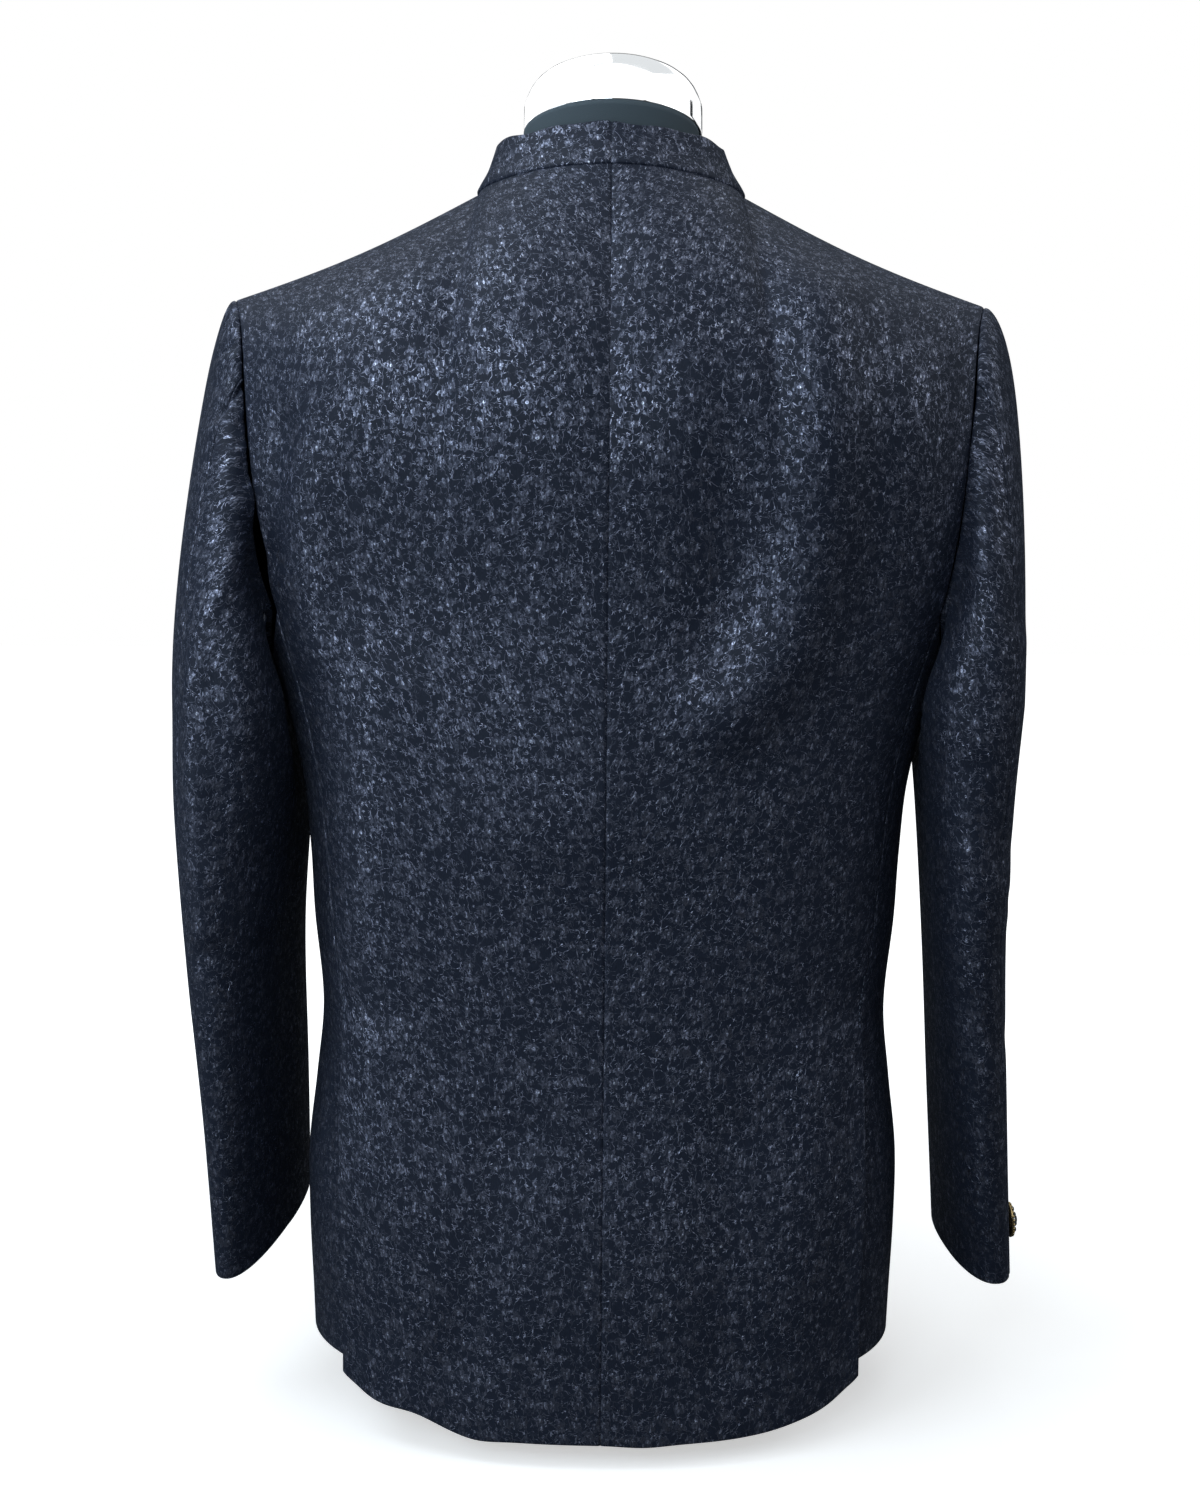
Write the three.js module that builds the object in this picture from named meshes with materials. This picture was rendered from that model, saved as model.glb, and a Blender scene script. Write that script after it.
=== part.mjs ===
import * as THREE from 'three';

// A bandhgala jacket and its waistcoat, buttoned on a limbless dress form.
// Millimetres, +Z up. The wearer faces -Y, and the wearer's left is +X.
// The origin is the middle of the form's flat bottom, where it stands on a table.

// ---------- driving dimensions ----------

const BROCADE = 1.8;        // brocade with its lining, as one wall
const SUITING = 1.5;        // the waistcoat's plain cloth
const SEAM = 0.3;           // gap between two pieces where they are sewn
const LAP = 3.4;            // how far the upper layer of a vent or lapped front stands off
const SQUARENESS = 2 / 2.3; // power that rounds a section between an ellipse and a box

// The jacket's body, from the hem to the bottom of the armholes.
// side is half the width, back and front are the depths behind and before the side line.
const BODY = [
  { z: 0, side: 179, back: 135, front: 120 },
  { z: 60, side: 181, back: 130, front: 116 },
  { z: 110, side: 183, back: 127, front: 113 },
  { z: 155, side: 183, back: 122, front: 111 },
  { z: 200, side: 178, back: 112, front: 109 },
  { z: 245, side: 174, back: 102, front: 107 },
  { z: 300, side: 179, back: 95, front: 108 },
  { z: 340, side: 181, back: 95, front: 111 },
  { z: 385, side: 185, back: 101, front: 117 },
  { z: 440, side: 198, back: 109, front: 125 },
  { z: 487, side: 211, back: 114, front: 129 },
  { z: 530, side: 216, back: 117, front: 130 },
];

// Where the side panel's two seams run, in degrees from the centre back.
const SIDE_SEAMS = [
  { z: 0, behind: 54, before: 108 },
  { z: 130, behind: 52.5, before: 108 },
  { z: 245, behind: 55, before: 108 },
  { z: 340, behind: 58, before: 108 },
  { z: 487, behind: 64, before: 110 },
];

const YOKE = 487;           // height where the side seams reach the armholes
const UNDERARM = 457;       // lowest point of an armhole
const NECK_SHARE = 0.36;    // share of a panel's top edge that the neckline takes
const NECK = { side: 78, back: 62, front: 62, nape: 741, shoulder: 732, throat: 688 };
const SHOULDER = new THREE.Vector3(223, 8, 668);
const SHOULDER_SAG = 4.5;

// How a panel climbs from the yoke to its top edge: start is the pull upwards where it
// leaves the yoke, over and rise are the pull across and up the shoulder where it ends.
const BACK_CLIMB = [
  { across: 0, start: 280, over: 230, rise: 340 },
  { across: 0.36, start: 280, over: 435, rise: 150 },
  { across: 0.7, start: 250, over: 400, rise: 90 },
  { across: 1, start: 195, over: 170, rise: 50 },
];
const FRONT_CLIMB = [
  { across: 0, start: 230, over: 150, rise: 200 },
  { across: 0.36, start: 250, over: 350, rise: 170 },
  { across: 0.7, start: 240, over: 300, rise: 90 },
  { across: 1, start: 180, over: 150, rise: 50 },
];
// The sideways pull on the armhole's two edges where they leave the yoke.
const ARMHOLE_FLARE = { back: { x: 22, y: 50 }, front: { x: -52, y: -18 } };
// The sideways pull where those edges arrive at the shoulder point.
const SHOULDER_FLARE = 52;
const BLADE = { x: 96, z: 600, wide: 52, proud: 3.5 };

const HEM = { back: 14.5, vent: 37, power: 4.2, side: 43, front: 32, cornerRound: 42 };
const VENT = { top: 236, run: 22, underlap: 34 };
const FRONT_LAP = 20;       // each front runs this far past the centre

// Sleeve rings from the upper arm to the cuff: out and fore place the middle, half and
// deep are the half width and half depth, turn swings the hind edge outwards, in degrees.
const SLEEVES = {
  left: [
    { z: 84, out: 215, fore: -8, half: 17, deep: 58.8, turn: 15 },
    { z: 180, out: 217, fore: 0, half: 20.8, deep: 64.8, turn: 13 },
    { z: 280, out: 220.5, fore: 8, half: 26.8, deep: 71.8, turn: 10 },
    { z: 370, out: 220, fore: 12, half: 35.8, deep: 77.8, turn: 6 },
    { z: 434, out: 218.5, fore: 12, half: 40.3, deep: 80.8, turn: 1 },
  ],
  right: [
    { z: 84, out: 235.5, fore: -8, half: 18, deep: 58.8, turn: 6 },
    { z: 180, out: 228.5, fore: 0, half: 21.3, deep: 63.8, turn: 1 },
    { z: 280, out: 222, fore: 8, half: 23.8, deep: 69.8, turn: -3 },
    { z: 370, out: 218, fore: 12, half: 27.8, deep: 75.8, turn: -4 },
    { z: 434, out: 217, fore: 12, half: 33.8, deep: 79.8, turn: -4 },
  ],
};
const UPPER_ARM = 434;
const CAP_REACH = { left: 0.17, right: 0.28 };
const CUFF = { left: 94, right: 84 };
const CUFF_SLANT = { left: 16, right: 5 };
const SLEEVE_CLEAR = 5;     // the sleeve hangs at least this far from the body
const CAP_SHARE = 0.4;      // share of a sleeve's length above the upper arm
const ARMHOLE_SHARES = { back: 0.39, front: 0.6 };
const HIND_SEAM = ARMHOLE_SHARES.back * 3 / 8;          // the sleeve's two seams, as turns
const FOREARM_SEAM = 0.75 * ARMHOLE_SHARES.front + 0.25;

const COLLAR = { high: 29, lean: 15, gap: 1.2, lift: 0.6 };
const BUTTON = { across: 22, high: 9, foot: 0.8 };
const FRONT_BUTTONS = { top: 662, step: 74, count: 6 };
const CUFF_BUTTON = { turn: 0.03, down: 0.966 };

// The waistcoat lies under the jacket, this far in from the jacket's surface.
const WAISTCOAT = {
  backIn: 9, frontIn: 11, shoulderIn: 6, dip: 2.6, lap: 12, lapShare: 0.025,
  backHem: 165, frontHem: 150, armhole: 430,
};
// Its edges above the yoke, as shares of the jacket's panel from the centre out.
const WAISTCOAT_EDGES = { vNeck: 0.44, armLow: 0.82, armHigh: 0.74 };
const WAISTCOAT_BUTTONS = { top: 455, step: 62, count: 5, across: 15, high: 2.6 };

// The dress form, bottom to neck: half width, depth behind and before, how square the
// section is (2 is an ellipse) and how far it tips forward, in degrees.
const FORM = [
  { z: 0, side: 140, back: 86, front: 72, power: 2.2, tip: 0 },
  { z: 5, side: 152, back: 98, front: 84, power: 2.2, tip: 0 },
  { z: 20, side: 162, back: 110, front: 94, power: 2.3, tip: 0 },
  { z: 50, side: 166, back: 112, front: 96, power: 2.3, tip: 0 },
  { z: 110, side: 169, back: 110, front: 95, power: 2.3, tip: 0 },
  { z: 160, side: 168, back: 104, front: 93, power: 2.3, tip: 0 },
  { z: 245, side: 159, back: 86, front: 89, power: 2.3, tip: 0 },
  { z: 320, side: 164, back: 79, front: 91, power: 2.3, tip: 0 },
  { z: 385, side: 166, back: 83, front: 96, power: 2.3, tip: 0 },
  { z: 440, side: 174, back: 90, front: 103, power: 2.3, tip: 0 },
  { z: 487, side: 180, back: 95, front: 106, power: 2.3, tip: 0 },
  { z: 540, side: 182, back: 97, front: 100, power: 2.2, tip: 0 },
  { z: 590, side: 180, back: 92, front: 84, power: 2, tip: 0 },
  { z: 630, side: 172, back: 76, front: 64, power: 1.7, tip: 0 },
  { z: 652, side: 158, back: 62, front: 50, power: 1.5, tip: 0 },
  { z: 680, side: 112, back: 50, front: 42, power: 1.5, tip: 0 },
  { z: 702, side: 84, back: 44, front: 40, power: 1.7, tip: 0 },
  { z: 722, side: 60, back: 40, front: 40, power: 2, tip: 3 },
  { z: 745, side: 53, back: 42, front: 48, power: 2, tip: 9 },
  { z: 766, side: 52, back: 47, front: 57, power: 2, tip: 14 },
];

// The neck cap: rings in from its rim and up from its foot.
const NECK_CAP = { radius: 53, back: -5, x: -1 };
const CAP_RINGS = [
  { in: 0, up: SEAM }, { in: 0, up: 18.5 }, { in: 3, up: 26.5 }, { in: 8, up: 32.5 },
  { in: 15, up: 35.5 }, { in: 28, up: 37.5 },
];
const CAP_TOP = 38.5;

// ---------- small tools ----------

const rad = (degrees) => degrees * Math.PI / 180;
const mix = (a, b, share) => a + (b - a) * share;
const clamp = (value, low = 0, high = 1) => Math.min(Math.max(value, low), high);
const ease = (share) => clamp(share) ** 2 * (3 - 2 * clamp(share));
const signedPower = (value, power) => Math.sign(value) * Math.abs(value) ** power;

// Reads one column of a table at any place along its key, on a smooth curve through the rows.
function read(rows, key, column, at) {
  const last = rows.length - 1;
  if (at <= rows[0][key]) return rows[0][column];
  if (at >= rows[last][key]) return rows[last][column];
  let i = 0;
  while (rows[i + 1][key] < at) i += 1;
  const slope = (row) => {
    const a = rows[Math.max(row - 1, 0)];
    const b = rows[Math.min(row + 1, last)];
    return (b[column] - a[column]) / (b[key] - a[key]);
  };
  const span = rows[i + 1][key] - rows[i][key];
  const t = (at - rows[i][key]) / span;
  return hermite(rows[i][column], slope(i) * span, rows[i + 1][column], slope(i + 1) * span, t);
}

function hermite(from, leave, to, arrive, t) {
  const t2 = t * t;
  const t3 = t2 * t;
  return (2 * t3 - 3 * t2 + 1) * from + (t3 - 2 * t2 + t) * leave
    + (3 * t2 - 2 * t3) * to + (t3 - t2) * arrive;
}

function hermitePoint(from, leave, to, arrive, t) {
  return new THREE.Vector3(
    hermite(from.x, leave.x, to.x, arrive.x, t),
    hermite(from.y, leave.y, to.y, arrive.y, t),
    hermite(from.z, leave.z, to.z, arrive.z, t),
  );
}

// ---------- the body's surface ----------

// A point on the body below the yoke, at an angle from the centre back.
function bodyPoint(angle, z) {
  const cos = Math.cos(rad(angle));
  const depth = read(BODY, 'z', cos > 0 ? 'back' : 'front', z);
  return new THREE.Vector3(
    read(BODY, 'z', 'side', z) * signedPower(Math.sin(rad(angle)), SQUARENESS),
    depth * signedPower(cos, SQUARENESS),
    z,
  );
}

// A point on the neckline, at an angle from the nape.
function neckPoint(angle) {
  const sin = Math.sin(rad(angle));
  const cos = Math.cos(rad(angle));
  const behind = cos > 0;
  const z = behind
    ? NECK.nape - (NECK.nape - NECK.shoulder) * sin ** 2
    : NECK.shoulder - (NECK.shoulder - NECK.throat) * cos ** 2;
  return new THREE.Vector3(NECK.side * sin, (behind ? NECK.back : NECK.front) * cos, z);
}

// The top edge of a panel, from the centre along the neckline and then the shoulder seam.
function topEdge(across, face) {
  if (across <= NECK_SHARE) {
    const angle = 90 * across / NECK_SHARE;
    return neckPoint(face === 'back' ? angle : 180 - angle);
  }
  const share = (across - NECK_SHARE) / (1 - NECK_SHARE);
  const point = neckPoint(90).lerp(SHOULDER, share);
  point.z -= SHOULDER_SAG * Math.sin(Math.PI * share);
  return point;
}

// A point above the yoke: across runs from the centre to the armhole, up from 0 to 1.
function climbPoint(across, up, face) {
  const back = face === 'back';
  const table = back ? BACK_CLIMB : FRONT_CLIMB;
  const seam = read(SIDE_SEAMS, 'z', back ? 'behind' : 'before', YOKE);
  const angle = back ? seam * across : 180 - (180 - seam) * across;
  const low = bodyPoint(angle, YOKE);
  const start = read(table, 'across', 'start', across);
  const leave = bodyPoint(angle, YOKE + 10).sub(bodyPoint(angle, YOKE - 10));
  leave.multiplyScalar(start / 20);
  const flare = ARMHOLE_FLARE[face];
  leave.x += flare.x * across ** 4;
  leave.y += flare.y * across ** 4;
  const toward = back ? -1 : 1;
  const arrive = new THREE.Vector3(
    SHOULDER_FLARE * across ** 4,
    toward * read(table, 'across', 'over', across),
    read(table, 'across', 'rise', across),
  );
  return hermitePoint(low, leave, topEdge(across, face), arrive, up);
}

// The height of the hem at an angle from the centre back, on the outer layers.
function hemHeight(angle, z = 0) {
  const behind = read(SIDE_SEAMS, 'z', 'behind', z);
  if (angle < behind) return mix(HEM.back, HEM.vent, (angle / behind) ** HEM.power);
  return mix(HEM.side, HEM.front, ease((angle - behind) / (180 - behind)));
}

// Each panel is a surface over across and up, both 0 to 1, for the wearer's left side.
// across always runs from the back round to the front, and up from the hem to the top.
const YOKE_UP = 0.62;       // share of a panel's rows below the yoke
const MM_PER_DEGREE = 2.6;  // along the body's section near the side seams

function backPanel(across, up) {
  if (up > YOKE_UP) return climbPoint(across, (up - YOKE_UP) / (1 - YOKE_UP), 'back');
  const seam = (z) => read(SIDE_SEAMS, 'z', 'behind', z);
  const hem = hemHeight(across * seam(0) * 0.999);
  const z = mix(hem, YOKE, up / YOKE_UP);
  return bodyPoint(across * seam(z), z);
}

function frontPanel(across, up, hemRise = 0) {
  if (up > YOKE_UP) {
    return climbPoint(1 - across, (up - YOKE_UP) / (1 - YOKE_UP), 'front');
  }
  const angle = (z) => mix(read(SIDE_SEAMS, 'z', 'before', z), 180, across);
  const z = mix(hemHeight(angle(0)) + hemRise, YOKE, up / YOKE_UP);
  return bodyPoint(angle(z), z);
}

// The bottom of the armhole as a height over the side panel.
function underarmHeight(angle) {
  const behind = read(SIDE_SEAMS, 'z', 'behind', YOKE);
  const before = read(SIDE_SEAMS, 'z', 'before', YOKE);
  const middle = (behind + before) / 2;
  const share = Math.abs(angle - middle) / ((before - behind) / 2);
  return mix(UNDERARM, YOKE, share ** 2.4);
}

// The side panel, with the underlap of the vent behind its back seam.
function sidePanel(across, up) {
  const angleAt = (z) => {
    const lap = VENT.underlap * ease((VENT.top - z) / VENT.run);
    const behind = read(SIDE_SEAMS, 'z', 'behind', z) - lap / MM_PER_DEGREE;
    return mix(behind, read(SIDE_SEAMS, 'z', 'before', z), across);
  };
  const vent = read(SIDE_SEAMS, 'z', 'behind', 0);
  const hem = hemHeight(Math.max(angleAt(0), vent + 0.1));
  const z = mix(hem, underarmHeight(angleAt(YOKE)), up);
  return bodyPoint(angleAt(z), z);
}

// ---------- folds and layers, as distances out from the surface ----------

// Long soft folds of the back, from one end to the other in width and height.
// wide is the half width, and proud is how far it stands out, or sinks in if negative.
const BACK_FOLDS = [
  { x: -92, z: 640, toX: -84, toZ: 460, wide: 26, proud: 3 },
  { x: -142, z: 618, toX: -128, toZ: 500, wide: 17, proud: -3 },
  { x: -128, z: 500, toX: -74, toZ: 425, wide: 17, proud: -3 },
  { x: 188, z: 590, toX: 192, toZ: 510, wide: 12, proud: -2 },
  { x: -54, z: 690, toX: -28, toZ: 620, wide: 22, proud: -2 },
  { x: 138, z: 215, toX: 128, toZ: 60, wide: 22, proud: 5 },
  { x: 60, z: 160, toX: 82, toZ: 40, wide: 22, proud: -4 },
  { x: -78, z: 160, toX: -72, toZ: 40, wide: 22, proud: -4 },
  { x: 0, z: 150, toX: 4, toZ: 15, wide: 34, proud: 4 },
  { x: -138, z: 200, toX: -134, toZ: 30, wide: 22, proud: 3 },
];

// How far a point lies out of the smooth surface because of the folds of the back.
function foldsAt(point) {
  let out = BLADE.proud * Math.exp(
    -(((Math.abs(point.x) - BLADE.x) / BLADE.wide) ** 2)
    - ((point.z - BLADE.z) / BLADE.wide) ** 2,
  );
  for (const fold of BACK_FOLDS) {
    const dx = fold.toX - fold.x;
    const dz = fold.toZ - fold.z;
    const along = ((point.x - fold.x) * dx + (point.z - fold.z) * dz) / (dx * dx + dz * dz);
    const held = clamp(along);
    const off = Math.hypot(point.x - fold.x - held * dx, point.z - fold.z - held * dz);
    out += fold.proud * Math.exp(-((off / fold.wide) ** 2));
  }
  return out * ease((point.y - 20) / 50);
}

// How fully the back's edge stands off the side panel's underlap at the vent: 0 to 1.
function ventShare(across, z) {
  return ease((across - 0.45) / 0.3) * ease((VENT.top + VENT.run - z) / VENT.run);
}

// How far a right front dips to pass under the left, at a distance short of the centre.
function lapDip(short, lap, depth) {
  return -depth * ease((lap + 18 - short) / 16);
}

// ---------- turning surfaces into solids ----------

// The direction out of a surface, from its slopes across and up. low and high are the
// ends of across.
function outward(surface, across, up, low = 0, high = 1) {
  const step = 0.002;
  const a0 = Math.max(across - step, low);
  const a1 = Math.min(across + step, high);
  const u0 = Math.max(up - step, 0);
  const u1 = Math.min(up + step, 1);
  const slopeAcross = surface(a1, up).sub(surface(a0, up));
  const slopeUp = surface(across, u1).sub(surface(across, u0));
  return slopeUp.cross(slopeAcross).normalize();
}

function indexedGeometry(vertices, index) {
  const geometry = new THREE.BufferGeometry();
  const flat = vertices.flatMap((v) => [v.x, v.y, v.z]);
  geometry.setAttribute('position', new THREE.Float32BufferAttribute(flat, 3));
  geometry.setIndex(index);
  geometry.computeVertexNormals();
  return geometry;
}

// A closed wall of cloth: an outer grid, the same grid moved in, and strips round the edge.
// points(i, j) gives { out, in } for column i and row j; closed joins the last column to the first.
function wallGeometry(columns, rows, points, { closed = false, mirrored = false } = {}) {
  const count = closed ? columns : columns + 1;
  const grid = [];
  for (let j = 0; j <= rows; j += 1) {
    for (let i = 0; i < count; i += 1) grid.push(points(i, j));
  }
  const vertices = [...grid.map((p) => p.out), ...grid.map((p) => p.in)];
  const index = [];
  const at = (i, j, layer) => layer * grid.length + j * count + (i % count);
  const quad = (a, b, c, d) => index.push(a, b, c, a, c, d);
  for (let j = 0; j < rows; j += 1) {
    for (let i = 0; i < columns; i += 1) {
      quad(at(i, j, 0), at(i, j + 1, 0), at(i + 1, j + 1, 0), at(i + 1, j, 0));
      quad(at(i, j, 1), at(i + 1, j, 1), at(i + 1, j + 1, 1), at(i, j + 1, 1));
    }
  }
  for (let i = 0; i < columns; i += 1) {
    quad(at(i, 0, 0), at(i + 1, 0, 0), at(i + 1, 0, 1), at(i, 0, 1));
    quad(at(i, rows, 0), at(i, rows, 1), at(i + 1, rows, 1), at(i + 1, rows, 0));
  }
  if (!closed) {
    for (let j = 0; j < rows; j += 1) {
      quad(at(0, j, 0), at(0, j, 1), at(0, j + 1, 1), at(0, j + 1, 0));
      quad(at(columns, j, 0), at(columns, j + 1, 0), at(columns, j + 1, 1), at(columns, j, 1));
    }
  }
  if (mirrored) {
    for (const vertex of vertices) vertex.x *= -1;
    for (let i = 0; i < index.length; i += 3) {
      [index[i + 1], index[i + 2]] = [index[i + 2], index[i + 1]];
    }
  }
  return indexedGeometry(vertices, index);
}

// A panel's wall, with a column at each step of across and a row at each step of up.
// lift(point, across) is its distance out from the surface, and atSeam(across, up, out)
// the way through the wall where the panel ends at a seam.
function panelGeometry(surface, columns, rows, options) {
  const { thick = BROCADE, lift = () => 0, mirrored = false } = options;
  const atSeam = options.atSeam ?? ((across, up, out) => out);
  const low = Math.min(Math.floor(columns[0]), 0);
  const high = Math.ceil(columns[columns.length - 1]);
  return wallGeometry(columns.length - 1, rows.length - 1, (i, j) => {
    const point = surface(columns[i], rows[j]);
    const out = outward(surface, columns[i], rows[j], low, high);
    const through = atSeam(columns[i], rows[j], out);
    const seen = mirrored ? point.clone().setX(-point.x) : point;
    const distance = lift(seen, columns[i]);
    return {
      out: point.clone().addScaledVector(through, distance),
      in: point.clone().addScaledVector(through, distance - thick),
    };
  }, { mirrored });
}

// The way through a wall that ends at a seam, half way between the two surfaces that meet
// there and long enough to keep its thickness. ridge says how far the seam is a ridge.
function mitred(own, other, ridge = 1) {
  const out = own.clone().addScaledVector(other, ridge).normalize();
  return out.divideScalar(Math.max(out.dot(own), 0.6));
}

const group = new THREE.Group();

function addPiece(name, geometry, colour, roughness, metalness = 0) {
  const material = new THREE.MeshStandardMaterial({ color: colour, roughness, metalness });
  const mesh = new THREE.Mesh(geometry, material);
  mesh.name = name;
  group.add(mesh);
  return mesh;
}

const BROCADE_COLOUR = 0x262d3c;
const SUITING_COLOUR = 0x1c2130;
const METAL_COLOUR = 0xb8a67c;

// ---------- the sleeves' surface ----------

// The armhole as a loop from the shoulder point down the back, under the arm and up the front.
function armholePoint(turn) {
  const { back, front } = ARMHOLE_SHARES;
  if (turn <= back) return climbPoint(1, 1 - turn / back, 'back');
  if (turn >= front) return climbPoint(1, (turn - front) / (1 - front), 'front');
  const share = (turn - back) / (front - back);
  const behind = read(SIDE_SEAMS, 'z', 'behind', YOKE);
  const before = read(SIDE_SEAMS, 'z', 'before', YOKE);
  const angle = mix(behind, before, share);
  return bodyPoint(angle, underarmHeight(angle));
}

// The way out of the body at the armhole.
function armholeOut(turn) {
  const { back, front } = ARMHOLE_SHARES;
  if (turn <= back) return outward(backPanel, 1, mix(1, YOKE_UP, turn / back));
  if (turn < front) return outward(sidePanel, (turn - back) / (front - back), 1);
  return outward(frontPanel, 0, mix(YOKE_UP, 1, (turn - front) / (1 - front)));
}

// Moves a point out of the body's section at its height, to hang clear of it.
function clearOfBody(point, clear) {
  const side = read(BODY, 'z', 'side', point.z) + clear;
  const depth = read(BODY, 'z', point.y > 0 ? 'back' : 'front', point.z) + clear;
  const power = 2 / SQUARENESS;
  const reach = (Math.abs(point.x) / side) ** power + (Math.abs(point.y) / depth) ** power;
  const share = reach ** (1 / power);
  if (share < 1) point.x /= share;
  return point;
}

// A ring of the sleeve at a height: turn 0 is its outer edge and 0.25 its hind edge.
function sleeveRing(side, turn, z) {
  const table = SLEEVES[side];
  const angle = turn * 2 * Math.PI;
  const swing = rad(read(table, 'z', 'turn', z));
  const across = read(table, 'z', 'half', z) * signedPower(Math.cos(angle), 0.9);
  const along = read(table, 'z', 'deep', z) * signedPower(Math.sin(angle), 0.9);
  const point = new THREE.Vector3(
    read(table, 'z', 'out', z) + across * Math.cos(swing) + along * Math.sin(swing),
    read(table, 'z', 'fore', z) + along * Math.cos(swing) - across * Math.sin(swing),
    z,
  );
  return clearOfBody(point, SLEEVE_CLEAR);
}

// The sleeve's surface: down runs from 0 at the armhole to 1 at the cuff.
function sleevePoint(side, turn, down) {
  const angle = turn * 2 * Math.PI;
  if (down < CAP_SHARE) {
    const from = armholePoint(turn);
    const to = sleeveRing(side, turn, UPPER_ARM);
    const drop = from.z - UPPER_ARM;
    const reach = 14 + CAP_REACH[side] * drop;
    const leave = new THREE.Vector3(
      reach * mix(0.6, 1, Math.abs(Math.cos(angle))),
      reach * 0.8 * Math.sin(angle),
      -0.15 * drop,
    );
    const arrive = new THREE.Vector3(0, 0, -20 - 1.02 * drop);
    const share = down / CAP_SHARE;
    const point = hermitePoint(from, leave, to, arrive, share);
    if (point.z > YOKE) return point;
    return clearOfBody(point, SLEEVE_CLEAR * ease(share / 0.12));
  }
  const share = (down - CAP_SHARE) / (1 - CAP_SHARE);
  const z = mix(UPPER_ARM, CUFF[side], share);
  const point = sleeveRing(side, turn, z);
  point.z -= CUFF_SLANT[side] * Math.sin(angle) * share ** 2;
  return point;
}

// The way out of a sleeve's surface.
function sleeveOut(side, turn, down) {
  const step = 0.003;
  const at = (t, d) => sleevePoint(side, (t + 1) % 1, clamp(d));
  const slopeTurn = at(turn + step, down).sub(at(turn - step, down));
  const slopeUp = at(turn, down - step).sub(at(turn, down + step));
  return slopeTurn.cross(slopeUp).normalize();
}

// How far the seam at the armhole is a ridge (1) and not a fold back on the body (0).
function ridgeAt(side, turn) {
  const away = sleevePoint(side, turn, 0.02).sub(armholePoint(turn)).normalize();
  return ease(0.9 - away.dot(armholeOut(turn)) / 0.3);
}

// ---------- the jacket's body ----------

// Even steps from 0 to 1, with the nearest one moved onto each mark.
function stepsThrough(count, marks) {
  const steps = Array.from({ length: count + 1 }, (_, j) => j / count);
  for (const mark of marks) {
    const near = steps.map((step) => Math.abs(step - mark));
    steps[near.indexOf(Math.min(...near))] = mark;
  }
  return steps;
}

// Steps that stop just short of the seams at 0 and 1.
const inset = (steps, low, high = low) => steps.map(
  (step) => Math.min(Math.max(step, low), 1 - high));

// Pieces that meet at a seam have their rows or columns at the same places along it.
const heightMark = (z) => YOKE_UP * (z - HEM.vent) / (YOKE - HEM.vent);
const LOWER_ROWS = stepsThrough(14, [VENT.top - VENT.run, VENT.top, VENT.top + VENT.run]
  .map((z) => heightMark(z) / YOKE_UP));
const UPPER_ROWS = stepsThrough(8, []).slice(1);
const PANEL_ROWS = [
  ...LOWER_ROWS.map((step) => step * YOKE_UP),
  ...UPPER_ROWS.map((step) => mix(YOKE_UP, 1, step)),
];
const NECK_COLUMNS = stepsThrough(6, []).map((step) => step * NECK_SHARE);
const SHOULDER_COLUMNS = stepsThrough(5, []).slice(1).map((step) => mix(NECK_SHARE, 1, step));
const PANEL_COLUMNS = [...NECK_COLUMNS, ...SHOULDER_COLUMNS];
const SIDE_COLUMNS = stepsThrough(7, []);

const SIDES = [{ name: 'left', mirrored: false }, { name: 'right', mirrored: true }];
const EDGE = 0.002;         // share of a panel held back from a seam
const CENTRE_EDGE = 0.0003;
const TOP_EDGE = 0.0008;

// Whether a panel ends here at its armhole, or at its shoulder seam.
const atArmhole = (fromCentre, up) => fromCentre > 1 - 2 * EDGE && up > YOKE_UP - EDGE;
const atShoulder = (fromCentre, up) => fromCentre > NECK_SHARE - EDGE && up > 1 - 2 * TOP_EDGE;
const climbOf = (up) => clamp((up - YOKE_UP) / (1 - YOKE_UP));

const backAtSeam = (side) => (across, up, out) => {
  if (atShoulder(across, up)) return mitred(out, outward(frontPanel, 1 - across, 1));
  if (!atArmhole(across, up)) return out;
  const turn = ARMHOLE_SHARES.back * (1 - climbOf(up));
  return mitred(out, sleeveOut(side, turn, 0), ridgeAt(side, turn));
};

const frontAtSeam = (side) => (across, up, out) => {
  if (atShoulder(1 - across, up)) return mitred(out, outward(backPanel, 1 - across, 1));
  if (!atArmhole(1 - across, up)) return out;
  const turn = mix(ARMHOLE_SHARES.front, 1, climbOf(up)) % 1;
  return mitred(out, sleeveOut(side, turn, 0), ridgeAt(side, turn));
};

const backColumns = inset(PANEL_COLUMNS, CENTRE_EDGE, EDGE);
for (const { name, mirrored } of SIDES) {
  const rows = inset(PANEL_ROWS, 0, TOP_EDGE);
  addPiece(`back_${name}`, panelGeometry(backPanel, backColumns, rows, {
    mirrored,
    atSeam: backAtSeam(name),
    lift: (point, across) => {
      const laps = ventShare(across, point.z);
      return foldsAt(point) * (1 - laps) + LAP * laps;
    },
  }), BROCADE_COLOUR, 0.62);
  const sideRows = inset(LOWER_ROWS, 0, TOP_EDGE * 3);
  addPiece(`side_${name}`, panelGeometry(sidePanel, inset(SIDE_COLUMNS, EDGE * 2), sideRows, {
    mirrored,
    lift: (point) => foldsAt(point) * ease((point.z - VENT.top) / 40),
  }), BROCADE_COLOUR, 0.62);
}

// A front runs on past the centre, where its surface is the other side's, mirrored. Its
// lower corner is rounded. across runs past 1 on the lap.
const FRONT_WIDTH = 185;

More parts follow.
